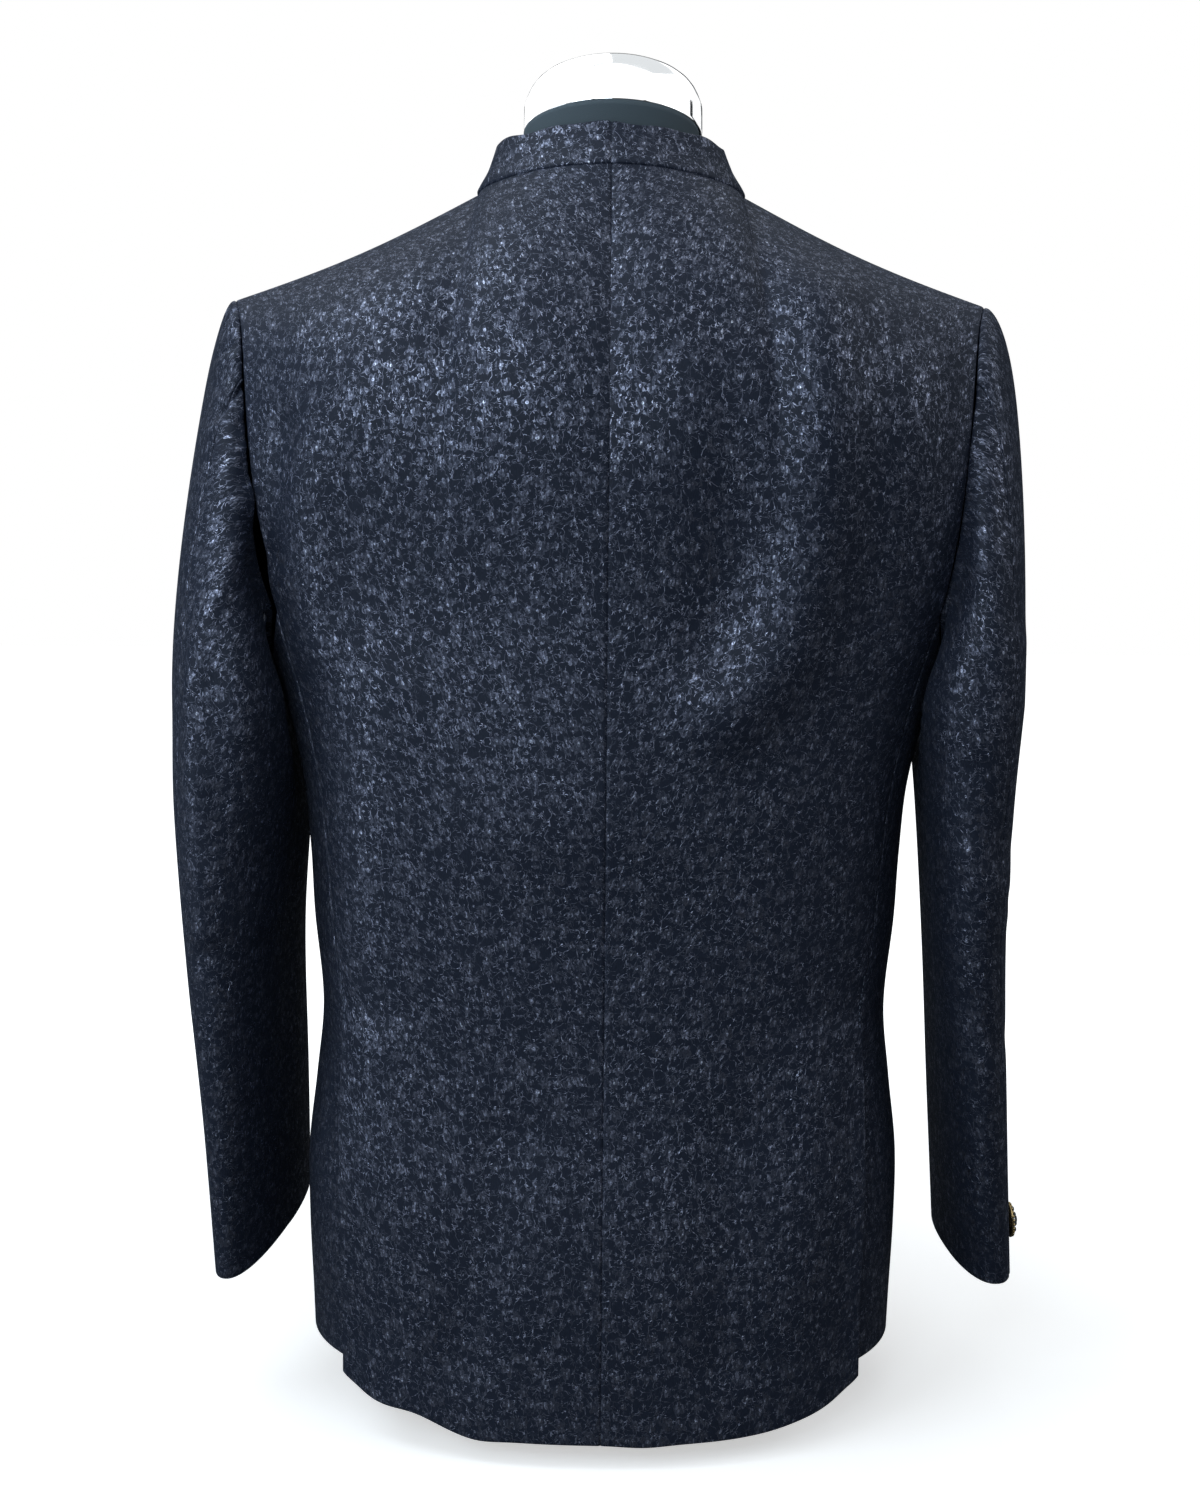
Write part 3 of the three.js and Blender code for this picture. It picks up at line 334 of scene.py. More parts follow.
def back_folds(points):
    x, z = points[..., 0], points[..., 2]
    blades = BLADE_PROUD * np.exp(-((np.abs(x) - BLADE_X) / BLADE_WIDE) ** 2
                                  - ((z - BLADE_Z) / BLADE_WIDE) ** 2)
    behind = ease((points[..., 1] - FOLDS_BEHIND) / FOLDS_RUN)
    return (blades + folds_at(points, BACK_FOLDS)) * behind


def hem_sway(points):
    """The cloth with its hem drawn up or let down a little, as a soft hem hangs."""
    x, z = points[..., 0], points[..., 2]
    rise = sum(up * np.exp(-((x - middle) / wide) ** 2) for middle, wide, up in HEM_SWAY)
    moved = points.copy()
    moved[..., 2] += rise * ease((HEM_SWAY_HIGH - z) / HEM_SWAY_HIGH)
    return moved


# ---------- The brocade ----------
# Silk jacquard: a dark navy satin ground, and small five-petalled flowers, leaves and
# tendrils drawn on it in a silver-blue thread that catches the light; some of its stitches carry
# painted glints.


def socket(tree, kind, name, direction="INPUT", default=None):
    made = tree.interface.new_socket(name=name, in_out=direction, socket_type=kind)
    if default is not None:
        made.default_value = default
    return made


class Nodes:
    """Short calls for wiring a node tree."""

    def __init__(self, tree):
        self.tree = tree

    def add(self, kind, **settings):
        node = self.tree.nodes.new(kind)
        for name, value in settings.items():
            setattr(node, name, value)
        return node

    def link(self, source, target):
        if isinstance(source, (int, float)):
            target.default_value = source
        elif isinstance(source, (tuple, list)):
            target.default_value = source
        else:
            self.tree.links.new(source, target)

    def math(self, operation, *inputs, clamp=False):
        node = self.add("ShaderNodeMath", operation=operation, use_clamp=clamp)
        for value, target in zip(inputs, node.inputs):
            self.link(value, target)
        return node.outputs[0]

    def times(self, one, two):
        return self.math("MULTIPLY", one, two)

    def plus(self, one, two):
        return self.math("ADD", one, two)

    def minus(self, one, two):
        return self.math("SUBTRACT", one, two)

    def vector(self, operation, *inputs, out=0):
        node = self.add("ShaderNodeVectorMath", operation=operation)
        for value, target in zip(inputs, node.inputs):
            self.link(value, target)
        return node.outputs[out]

    def scale(self, vector, by):
        node = self.add("ShaderNodeVectorMath", operation="SCALE")
        self.link(vector, node.inputs[0])
        self.link(by, node.inputs["Scale"])
        return node.outputs[0]

    def smooth(self, value, low, high, to_low=0.0, to_high=1.0):
        node = self.add("ShaderNodeMapRange", interpolation_type="SMOOTHSTEP")
        for source, target in zip((value, low, high, to_low, to_high), node.inputs):
            self.link(source, target)
        return node.outputs[0]

    def bump(self, height, shader, strength, distance):
        node = self.add("ShaderNodeBump")
        node.inputs["Strength"].default_value = strength
        node.inputs["Distance"].default_value = distance
        self.link(height, node.inputs["Height"])
        self.link(node.outputs[0], shader.inputs["Normal"])

    def cloth_map(self):
        return self.add("ShaderNodeUVMap", uv_map="cloth").outputs[0]

    def place(self):
        return self.add("ShaderNodeTexCoord").outputs["Object"]

    def split(self, vector):
        node = self.add("ShaderNodeSeparateXYZ")
        self.link(vector, node.inputs[0])
        return node.outputs

    def noise(self, vector, scale, detail=2.0, roughness=0.5, dimensions="2D"):
        node = self.add("ShaderNodeTexNoise", noise_dimensions=dimensions)
        self.link(vector, node.inputs["Vector"])
        self.link(scale, node.inputs["Scale"])
        self.link(detail, node.inputs["Detail"])
        self.link(roughness, node.inputs["Roughness"])
        return node.outputs[0]

    def voronoi(self, vector, scale, randomness=1.0, feature="F1", dimensions="2D"):
        node = self.add("ShaderNodeTexVoronoi", voronoi_dimensions=dimensions, feature=feature)
        self.link(vector, node.inputs["Vector"])
        self.link(scale, node.inputs["Scale"])
        self.link(randomness, node.inputs["Randomness"])
        return node

    def blend(self, share, first, second, kind="RGBA"):
        node = self.add("ShaderNodeMix", data_type=kind)
        inputs = [s for s in node.inputs if s.enabled]
        for source, target in zip((share, first, second), inputs):
            self.link(source, target)
        return next(s for s in node.outputs if s.enabled)


def new_material(name):
    """A material, the means to wire it and its shader."""
    material = bpy.data.materials.new(name)
    material.use_nodes = True
    return material, Nodes(material.node_tree), material.node_tree.nodes["Principled BSDF"]


def scattered(n, vector, size, randomness):
    """Motifs scattered in cells: the place inside each, turned at random, and its luck."""
    cell = n.voronoi(vector, 1 / size, randomness)
    local = n.scale(n.vector("SUBTRACT", vector, cell.outputs["Position"]), 1 / size)
    luck = n.add("ShaderNodeSeparateColor")
    n.link(cell.outputs["Color"], luck.inputs[0])
    spin = n.add("ShaderNodeVectorRotate", rotation_type="Z_AXIS")
    n.link(local, spin.inputs["Vector"])
    n.link(n.times(luck.outputs[0], 6.2832), spin.inputs["Angle"])
    return spin.outputs[0], luck.outputs[1], luck.outputs[2]


def line(n, value, at, half, soft):
    """1 on the line where value is at, falling to 0 beyond its half width."""
    off = n.math("ABSOLUTE", n.minus(value, at))
    return n.smooth(off, half, half + soft, 1.0, 0.0)


def flower_mask(n, vector, size, share):
    """Five-petalled flowers: outlined petals, paler inside, round a small eye."""
    local, luck, other = scattered(n, vector, size, 0.8)
    x, y, _ = n.split(local)
    radius = n.math("SQRT", n.plus(n.times(x, x), n.times(y, y)))
    petal = n.math("ABSOLUTE", n.math("COSINE", n.times(n.math("ARCTAN2", y, x), 2.5)))
    grown = n.plus(0.8, n.times(other, 0.4))
    edge = n.times(grown, n.plus(0.13, n.times(petal, 0.19)))
    outline = n.times(line(n, n.minus(radius, edge), 0.0, 0.02, 0.05), 0.5)
    eye = line(n, radius, 0.06, 0.015, 0.04)
    inside = n.smooth(n.minus(radius, edge), 0.03, -0.05)
    mask = n.math("MAXIMUM", n.math("MAXIMUM", outline, eye), n.times(inside, 0.26))
    here = n.math("LESS_THAN", luck, share)
    return n.times(mask, here), n.times(inside, here)


def blade(n, along, off, start, length, wide):
    """A pointed leaf along one axis."""
    at = n.math("DIVIDE", n.minus(along, start + length / 2), length / 2)
    bow = n.times(n.minus(1.0, n.times(at, at)), wide)
    return n.smooth(n.minus(n.math("ABSOLUTE", off), bow), 0.02, -0.025)


def sprig_mask(n, vector, size, share):
    """Sprigs of three small pointed leaves on a fine stalk."""
    local, luck, other = scattered(n, vector, size, 0.9)
    x, y, _ = n.split(local)
    side = n.math("ABSOLUTE", y)
    turned_x = n.plus(n.times(x, 0.68), n.times(side, 0.73))
    turned_y = n.minus(n.times(side, 0.68), n.times(x, 0.73))
    leaves = n.math("MAXIMUM", blade(n, x, y, 0.06, 0.40, 0.044),
                    blade(n, turned_x, turned_y, 0.04, 0.36, 0.038))
    stalk = n.times(line(n, y, 0.0, 0.010, 0.028),
                    n.smooth(n.math("ABSOLUTE", n.plus(x, 0.18)), 0.2, 0.3, 0.8, 0.0))
    lit = n.plus(0.4, n.times(other, 0.6))
    mask = n.times(n.math("MAXIMUM", leaves, stalk), lit)
    return n.times(mask, n.math("LESS_THAN", luck, share))


# Sizes in metres with the share of places that each motif fills, and counts to a metre.
FLOWERS, BUDS, SPRIGS, SMALL_SPRIGS = (0.0098, 0.65), (0.0060, 0.22), (0.0054, 0.95), (0.0047, 0.9)
WOBBLES, STEM_CELLS, STITCHES, GRAINS, POOLS = 170, 118, 1100, 1700, 18
MOTIF_WOBBLE, STEM_WOBBLE = 0.0022, 0.006


def brocade_group():
    tree = bpy.data.node_groups.new("brocade weave", "ShaderNodeTree")
    socket(tree, "NodeSocketVector", "Cloth")
    socket(tree, "NodeSocketColor", "Ground", default=(0.02, 0.03, 0.05, 1))
    socket(tree, "NodeSocketColor", "Thread", default=(0.2, 0.27, 0.38, 1))
    socket(tree, "NodeSocketColor", "Color", "OUTPUT")
    socket(tree, "NodeSocketFloat", "Roughness", "OUTPUT")
    socket(tree, "NodeSocketFloat", "Metallic", "OUTPUT")
    socket(tree, "NodeSocketFloat", "Height", "OUTPUT")
    n = Nodes(tree)
    given = n.add("NodeGroupInput")
    cloth = given.outputs["Cloth"]
    wobble = n.add("ShaderNodeTexNoise", noise_dimensions="2D")
    n.link(cloth, wobble.inputs["Vector"])
    wobble.inputs["Scale"].default_value = WOBBLES
    wobble.inputs["Detail"].default_value = 1
    drift = n.vector("SUBTRACT", wobble.outputs["Color"], (0.5, 0.5, 0.5))
    place = n.vector("ADD", cloth, n.scale(drift, MOTIF_WOBBLE))
    flowers, petals = flower_mask(n, place, *FLOWERS)
    buds, _ = flower_mask(n, n.vector("ADD", place, (0.31, 0.17, 0)), *BUDS)
    leaves = sprig_mask(n, place, *SPRIGS)
    more = sprig_mask(n, n.vector("ADD", place, (0.13, 0.41, 0)), *SMALL_SPRIGS)
    vines = n.voronoi(n.vector("ADD", cloth, n.scale(drift, STEM_WOBBLE)), STEM_CELLS, 1.0,
                      "DISTANCE_TO_EDGE")
    stems = n.smooth(vines.outputs["Distance"], 0.010, 0.030, 0.6, 0.0)
    clear = n.minus(1.0, petals)
    fill = n.math("MAXIMUM", n.math("MAXIMUM", leaves, more), n.math("MAXIMUM", stems, buds))
    drawn = n.math("MAXIMUM", flowers, n.times(fill, clear))
    stretch = n.vector("MULTIPLY", cloth, (1.0, 0.45, 1.0))
    stitch = n.voronoi(stretch, STITCHES, 1.0)
    luck = n.add("ShaderNodeSeparateColor")
    n.link(stitch.outputs["Color"], luck.inputs[0])
    broken = n.smooth(luck.outputs[0], 0.1, 0.7, 0.12, 1.0)
    # Painted glints: the thread colour of some stitches, picked at random, is brightened up to 2.4
    # times.
    painted_glint = n.scale(given.outputs["Thread"], n.smooth(luck.outputs[1], 0.55, 1.0, 0.72, 2.4))
    pool = n.noise(cloth, POOLS, 2.0, 0.55)
    shown = n.smooth(pool, 0.30, 0.62, 0.85, 1.0)
    thread = n.times(n.times(drawn, broken), shown)
    grain = n.noise(n.vector("MULTIPLY", cloth, (1.0, 0.25, 1.0)), GRAINS, 1.0)
    ground = n.blend(n.smooth(grain, 0.3, 0.7), given.outputs["Ground"],
                     n.scale(given.outputs["Ground"], 1.3))
    out = n.add("NodeGroupOutput")
    n.link(n.blend(thread, ground, painted_glint), out.inputs["Color"])
    n.link(n.smooth(thread, 0.0, 0.8, 0.55, 0.30), out.inputs["Roughness"])
    n.link(n.smooth(thread, 0.02, 0.35, 0.0, 0.95), out.inputs["Metallic"])
    height = n.plus(thread, n.times(n.plus(grain, luck.outputs[1]), 0.3))
    n.link(height, out.inputs["Height"])
    return tree


BROCADE_GROUP = brocade_group()


def brocade_material(name):
    material, n, shader = new_material(name)
    weave = n.add("ShaderNodeGroup", node_tree=BROCADE_GROUP)
    n.link(n.cloth_map(), weave.inputs["Cloth"])
    weave.inputs["Ground"].default_value = (0.0150, 0.0205, 0.0370, 1)
    weave.inputs["Thread"].default_value = (0.36, 0.39, 0.52, 1)
    for made, used in (("Color", "Base Color"), ("Roughness",) * 2, ("Metallic",) * 2):
        n.link(weave.outputs[made], shader.inputs[used])
    n.bump(weave.outputs["Height"], shader, 0.6, 0.00025)
    shader.inputs["Specular IOR Level"].default_value = 0.2
    shader.inputs["Sheen Weight"].default_value = 0.04
    shader.inputs["Sheen Roughness"].default_value = 0.4
    shader.inputs["Sheen Tint"].default_value = (0.55, 0.66, 0.9, 1)
    return material


def lining_material():
    material, n, shader = new_material("navy satin lining")
    ribs = n.noise(n.vector("MULTIPLY", n.cloth_map(), (1.0, 0.06, 1.0)), 2600, 1.0)
    colour = n.blend(ribs, (0.006, 0.009, 0.02, 1), (0.016, 0.022, 0.045, 1))
    n.link(colour, shader.inputs["Base Color"])
    shader.inputs["Roughness"].default_value = 0.38
    n.bump(ribs, shader, 0.3, 0.0001)
    return material


BROCADE = brocade_material("navy brocade")
LINING = lining_material()
JACKET_WALL = 1.8
CLOTH_STEP = 3.0
LAP_STAND = 3.4             # how far the upper layer of a vent or lapped front stands off


def jacket_piece(part, points, flip, uv_start, flat, area):
    cloth_piece(f"jacket_{part}", points, flip, JACKET_WALL, [BROCADE, LINING],
                (uv_start, 0.0), flat, area, part)


# ---------- The backs ----------
# Two pieces sewn together down the centre, shaped in to the waist and out over the seat,
# each with the upper layer of a side vent at its lower outer edge.


def mirror_x(points, mirrored):
    if mirrored:
        points = points.copy()
        points[..., 0] *= -1
    return points


def on_its_side(points, mirrored, sign=1):
    """A panel's points, mirrored for the wearer's right, and the way out at each."""
    return mirror_x(points, mirrored), mirror_x(surface_out(points, sign), mirrored)


def panel_grid(columns, rows):
    return np.meshgrid(columns, rows, indexing="ij")


VENT_FROM, VENT_BLEND = 0.45, 0.3           # shares across a back where its lap grows
FOLDS_FADE = 60             # the height at which a vent's layers lie flat
SEAM_END_RUN = 12           # how far above a vent its seam takes to roll in fully
VENT_CURL, VENT_CURL_WIDE, VENT_CURL_RUN = 2.6, 9, 60   # a vent's edge curls outward a little


def vent_share(across, z):
    return ease((across - VENT_FROM) / VENT_BLEND) * ease((VENT_TOP + VENT_RUN - z) / VENT_RUN)


def sewn_share(points):
    """1 where a side seam is sewn, and 0 below, where it opens as a vent."""
    return ease((points[..., 2] - VENT_TOP) / SEAM_END_RUN)


def lap_folds(points):
    """The back's folds as they fade down a vent, the same in both its layers."""
    return back_folds(points) * ease((points[..., 2] - FOLDS_FADE) / (VENT_TOP - FOLDS_FADE))


def back_lift(points, across):
    laps = vent_share(across, points[..., 2])
    return back_folds(points) * (1 - laps) + (lap_folds(points) + LAP_STAND) * laps


for side, mirrored in SIDES:
    across, up = panel_grid(fine_steps(190, CLOTH_STEP), fine_steps(760, CLOTH_STEP, False))
    points, out = on_its_side(back_panel(across, up), mirrored)
    lift = back_lift(points, across)
    lift += (VENT_CURL * np.exp(-(edge_distance(points, 0, -1) / VENT_CURL_WIDE) ** 2)
             * ease((VENT_TOP - points[..., 2]) / VENT_CURL_RUN))
    lift += seam_roll(points, 0, 0, 0.8, 2.2)
    lift += seam_roll(points, 0, -1) * sewn_share(points) + seam_roll(points, 1, -1)
    points = hem_sway(points + out * lift[..., None])
    jacket_piece(f"back_{side}", points, not mirrored, 1.7 if mirrored else 0.0,
                 (0.215, 0.75), 0.141)

# ---------- The sides ----------
# A narrow panel under each arm, from the back seam to the front dart seam. Below the
# vent's top it runs on behind the back as the underlap.

for side, mirrored in SIDES:
    across, up = panel_grid(fine_steps(170, CLOTH_STEP), fine_steps(430, CLOTH_STEP, False))
    points, out = on_its_side(side_panel(across, up), mirrored)
    lift = lap_folds(points) + seam_roll(points, 0, 0) * sewn_share(points)
    lift += seam_roll(points, 0, -1) + seam_roll(points, 1, -1)
    jacket_piece(f"side_{side}", points + out * lift[..., None], not mirrored,
                 2.2 if mirrored else 0.5, (0.165, 0.44), 0.057)

# ---------- The fronts ----------
# Each runs from its side seam past the centre, with a rounded lower corner. The left
# front laps over the right, as on menswear.

FRONT_LAP, FRONT_WIDTH, FRONT_STEP = 20, 185, 4.0
DIP_FROM, DIP_RUN = 18, 16


def front_with_lap(across, up):
    past = np.maximum(across - 1, 0) * FRONT_WIDTH
    from_edge = FRONT_LAP - past + np.maximum(1 - across, 0) * FRONT_WIDTH
    inside = np.clip(1 - from_edge / HEM_ROUND, 0, 1) * HEM_ROUND
    rise = HEM_ROUND - np.sqrt(HEM_ROUND ** 2 - inside ** 2)
    near = 0.1
    slope = front_panel(np.full_like(across, 1 - near), up)[..., 0] / near
    turned = front_panel(1 - past / slope, up, rise)
    turned[..., 0] *= -1
    return np.where((past > 0)[..., None], turned, front_panel(np.minimum(across, 1), up, rise))


def lap_dip(short, lap, depth):
    """How far the cloth under a lap sinks, from just beyond the lap's edge."""
    return -depth * ease((lap + DIP_FROM - short) / DIP_RUN)


for side, mirrored in SIDES:
    columns = fine_steps(FRONT_WIDTH, FRONT_STEP, True, False)
    columns = np.concatenate([columns, 1 + np.linspace(0, 1, 6)[1:] * FRONT_LAP / FRONT_WIDTH])
    across, up = panel_grid(columns, fine_steps(700, FRONT_STEP, False))
    points, out = on_its_side(front_with_lap(across, up), mirrored)
    lift = seam_roll(points, 0, 0) + seam_roll(points, 1, -1)
    if mirrored:
        lift += lap_dip(-points[..., 0], FRONT_LAP, LAP_STAND)
    jacket_piece(f"front_{side}", points + out * lift[..., None], not mirrored,
                 2.6 if mirrored else 0.9, (0.25, 0.72), 0.163)

# ---------- The pockets, buttonholes and vent stitches ----------
# A slanted welt on the left breast and a jetted pocket at each hip, all of the same
# brocade; buttonholes worked in navy twist; and a row of pick stitches over each vent.

BREAST_WELT = {"across": (0.40, 0.84), "low": (574, 556), "high": 21, "proud": 1.7}
HIP_JETS = {"across": (0.16, 0.86), "low": (262, 268), "high": 5.4, "apart": 6.6, "proud": 1.3}
WELT_WALL, WELT_RIM, WELT_COLUMNS = 1.1, 0.2, 46
PATCH_STEP = 0.003
SEWN_IN = 0.007             # metres of each strip's width that is turned under and sewn in


def patch(surface, across, before, after, up):
    """A grid of three by three points round a spot on a panel."""
    return surface(np.array([[across - before, across, across + after]] * 3).T,
                   up + np.array([[-PATCH_STEP, 0, PATCH_STEP]] * 3))


def up_at(across, z, surface):
    """The share up a panel's column where it reaches a height."""
    shares = np.linspace(0, 1, 1501)
    heights = surface(np.full_like(shares, across), shares)[:, 2]
    return np.interp(z, heights, shares)


def welt(name, side, sizes, raise_by=0.0):
    """A strip of cloth sewn on a front, following its surface."""
    columns = np.linspace(*sizes["across"], WELT_COLUMNS)
    low = np.interp(columns, sizes["across"], sizes["low"]) + raise_by
    rows = fine_steps(sizes["high"], 1.2) * sizes["high"]
    up = np.stack([up_at(a, z + rows, front_panel) for a, z in zip(columns, low)])
    points = front_panel(np.repeat(columns[:, None], len(rows), 1), up)
    points, out = on_its_side(points, side == "right")
    lift = sizes["proud"] + sum(seam_roll(points, axis, end, 0.9, 1.6)
                                for axis in (0, 1) for end in (0, -1))
    long = float(edge_distance(points, 0, 0)[-1].mean()) * MM
    high = sizes["high"] * MM
    cloth_piece(name, points + out * lift[..., None], side == "left", WELT_WALL, [BROCADE],
                (5.2, 0.0), (round(long, 3), round(high + SEWN_IN, 4)),
                round(long * high * 0.97, 6), rim=WELT_RIM)


welt("breast_pocket_welt", "left", BREAST_WELT)
for side in ("left", "right"):
    welt(f"hip_pocket_jet_lower_{side}", side, HIP_JETS)
    welt(f"hip_pocket_jet_upper_{side}", side, HIP_JETS, HIP_JETS["apart"])


def twist_material(name, dark, light):
    """Silk twist: fine slanting ridges of thread."""
    material, n, shader = new_material(name)
    x, y, z = n.split(n.place())
    lay = n.math("SINE", n.times(n.plus(x, n.times(z, 0.5)), 9000))
    n.link(n.blend(n.smooth(lay, -0.8, 0.8), dark, light), shader.inputs["Base Color"])
    shader.inputs["Roughness"].default_value = 0.42
    n.bump(lay, shader, 0.5, 0.0001)
    return material


NAVY_TWIST = twist_material("navy twist", (0.006, 0.009, 0.018, 1), (0.02, 0.028, 0.05, 1))
PICK_TWIST = twist_material("silver blue twist", (0.08, 0.1, 0.15, 1), (0.2, 0.24, 0.33, 1))


def sewn_piece(name, bm, material):
    bmesh.ops.recalc_face_normals(bm, faces=bm.faces)
    bmesh.ops.scale(bm, vec=(MM, MM, MM), verts=bm.verts)
    mesh = mesh_of(bm, name)
    mesh.materials.append(material)
    mesh.shade_smooth()
    add_piece(name, mesh, "brocade")


def placed(bm, verts, place, along, out):
    """Lays new geometry, drawn flat with its length on X, on a surface."""
    along, out = Vector(along).normalized(), Vector(out).normalized()
    side = out.cross(along).normalized()
    turn = Matrix((along, side, out)).transposed().to_4x4()
    bmesh.ops.transform(bm, matrix=Matrix.Translation(Vector(place)) @ turn, verts=verts)


FRONT_BUTTON_TOP, FRONT_BUTTON_STEP, FRONT_BUTTON_COUNT = 662, 74, 6
HOLE_FROM, HOLE_LONG, HOLE_WIDE, HOLE_CORD, HOLE_SIDES = -4.0, 25.0, 3.4, 0.75, 8
HOLE_PROUD, HOLE_FLAT = 0.5, 0.7            # how far its cord stands out, and is pressed flat

bm = bmesh.new()
for i in range(FRONT_BUTTON_COUNT):
    z = FRONT_BUTTON_TOP - i * FRONT_BUTTON_STEP
    share = 1 - (HOLE_FROM + HOLE_LONG / 2) / FRONT_WIDTH
    grid = patch(front_panel, share, 0.03, 0.01, up_at(share, z, front_panel))
    place, out = grid[1, 1], surface_out(grid, 1)[1, 1]
    across = grid[0, 1] - grid[2, 1]
    turns = np.linspace(0, 2 * math.pi, 25)[:-1]
    loop = [(np.sign(math.cos(t)) * (HOLE_LONG - HOLE_WIDE) / 2 + math.cos(t) * HOLE_WIDE / 2,
             math.sin(t) * HOLE_WIDE / 2) for t in turns]
    rings = []
    for (x, y), t in zip(loop, turns):
        rings.append([bm.verts.new((x + math.cos(t) * HOLE_CORD * math.cos(a),
                                    y + math.sin(t) * HOLE_CORD * math.cos(a),
                                    HOLE_PROUD + HOLE_CORD * HOLE_FLAT * math.sin(a)))
                      for a in np.linspace(0, 2 * math.pi, HOLE_SIDES + 1)[:-1]])
    for one, two in zip(rings, rings[1:] + rings[:1]):
        for k in range(HOLE_SIDES):
            bm.faces.new((one[k], one[k - 1], two[k - 1], two[k]))
    placed(bm, [v for ring in rings for v in ring], place, across, out)
sewn_piece("buttonholes", bm, NAVY_TWIST)

PICK_STITCHES, PICK_FROM, PICK_STEP, PICK_IN = 9, 274, 3.6, 3.0
PICK_LONG, PICK_WIDE, PICK_HIGH = 2.0, 0.55, 0.4
for side, mirrored in SIDES:
    bm = bmesh.new()
    for i in range(PICK_STITCHES):
        z = PICK_FROM - i * PICK_STEP
        share = 1 - PICK_IN / 150
        grid = patch(back_panel, share, 0.02, 0.005, float(up_at(share, z, back_panel)))
        grid, out = on_its_side(grid, mirrored)
        out, lift = out[1, 1], back_lift(grid, share)[1, 1]
        made = bmesh.ops.create_cube(bm, size=1)["verts"]
        bmesh.ops.scale(bm, vec=(PICK_LONG, PICK_WIDE, PICK_HIGH), verts=made)
        edges = list({e for v in made for e in v.link_edges})
        bent = bmesh.ops.bevel(bm, geom=edges, offset=0.15, affect="EDGES", segments=2,
                               profile=0.5, material=-1)
        corners = {v for f in bent["faces"] for v in f.verts} | {v for v in made if v.is_valid}
        placed(bm, list(corners), grid[1, 1] + out * (lift + PICK_HIGH * 0.375),
               grid[1, 2] - grid[1, 0], out)
    sewn_piece(f"vent_stitches_{side}", bm, PICK_TWIST)

# ---------- The collar ----------
# A stand collar of stiffened brocade, open at the throat, leaning in with the neck.

COLLAR_HIGH, COLLAR_LEAN, COLLAR_GAP = 29, 15, 1.2
COLLAR_STAND = 1.4          # how far its lower edge stands off the neckline
LEAN_MEAN = 0.75            # its lean at the shoulders, as a share of that at the nape
COLLAR_WAVES = [(0.6, 17, 0.4), (0.5, 37, 1)]           # of its top edge
BULGE, BULGE_AT, BULGE_WIDE, BUCKLE = 2.2, 0.36, 0.16, 0.5
JOIN_DEEP, JOIN_WIDE = 0.9, 1.6             # the groove of its centre seam
COLLAR_TUCK, COLLAR_INSIDE = 2.5, 2.3       # how far it runs on below, inside the neckline
turns = np.concatenate([-fine_steps(205, 2.0)[::-1], fine_steps(205, 2.0)[1:]])
turns *= 1 - COLLAR_GAP / (math.pi * NECK_SIDE)
rows = np.concatenate([np.linspace(-COLLAR_TUCK, 0, 7)[:-1] / COLLAR_HIGH,
                       fine_steps(COLLAR_HIGH, 1.5)])
turn, up = panel_grid(turns, rows)
base = neck_point(np.abs(turn) * 180)
inward = -base * (1, 1, 0)
inward /= np.linalg.norm(inward, axis=2, keepdims=True)
lean = COLLAR_LEAN * (LEAN_MEAN + (1 - LEAN_MEAN) * np.cos(turn * math.pi))
points = base + inward * (lean * up)[..., None]
points[..., 2] += np.sqrt(COLLAR_HIGH ** 2 - lean ** 2) * up
points[..., 0] *= np.where(turn < 0, -1, 1)
points[..., 2] += up * sum(high * np.sin(turn * often + start)
                           for high, often, start in COLLAR_WAVES)
points[..., 0:2] -= inward[..., 0:2] * (lean * np.minimum(up, 0))[..., None]
proud = COLLAR_STAND * (1 - ease(up / 0.5))
proud = proud + BULGE * np.exp(-((turn - BULGE_AT) / BULGE_WIDE) ** 2) * up
proud += BUCKLE * np.sin(turn * 19 + 2) * np.sin(up * math.pi)
proud -= JOIN_DEEP * np.exp(-(np.abs(turn) * math.pi * NECK_SIDE / JOIN_WIDE) ** 2)
tuck = np.clip(-up * COLLAR_HIGH / COLLAR_TUCK, 0, 1)
proud -= (COLLAR_STAND + COLLAR_INSIDE) * (1 - np.sqrt(1 - tuck ** 2))
proud += seam_roll(points, 1, -1, 0.5, 1.5)
points = points + surface_out(points, 1) * proud[..., None]
jacket_piece("collar", points, True, 3.4, (0.44, 0.029), 0.012)

# ---------- The sleeves ----------
# Two-piece set-in sleeves: a wide top piece over the arm and a narrower under piece,
# with the fullness of the head eased into the armhole.

UPPER_ARM = 434
OUT, FORE, HALF, DEEP, SWING = 1, 2, 3, 4, 5
SLEEVES = {                 # height, middle out and fore, half width and depth, turn
    "left": [(84, 215, -8, 17, 58.8, 15), (180, 217, 0, 20.8, 64.8, 13),
             (280, 220.5, 8, 26.8, 71.8, 10), (370, 220, 12, 35.8, 77.8, 6),
             (434, 218.5, 12, 40.3, 80.8, 1)],
    "right": [(84, 235.5, -8, 18, 58.8, 6), (180, 228.5, 0, 21.3, 63.8, 1),
              (280, 222, 8, 23.8, 69.8, -3), (370, 218, 12, 27.8, 75.8, -4),
              (434, 217, 12, 33.8, 79.8, -4)],
}
CAP_REACH = {"left": 0.17, "right": 0.28}               # how full the heads stand
CUFF = {"left": 94, "right": 84}
CUFF_SLANT = {"left": 16, "right": 5}
SLEEVE_CLEAR = 5            # how far the sleeves hang clear of the body
CAP_SHARE = 0.4             # share of a sleeve's rows above the upper arm
SLEEVE_SQUARENESS = 0.9
CAP_REACH_LEAST, CAP_SIDEWAYS, CAP_FORE, CAP_FALL = 14, 0.6, 0.8, 0.15
ARM_PULL, ARM_PULL_SHARE = 20, 1.02
ARM_BACK, ARM_FRONT = 0.39, 0.6
HIND_SEAM = ARM_BACK * 3 / 8
FOREARM_SEAM = 0.75 * ARM_FRONT + 0.25


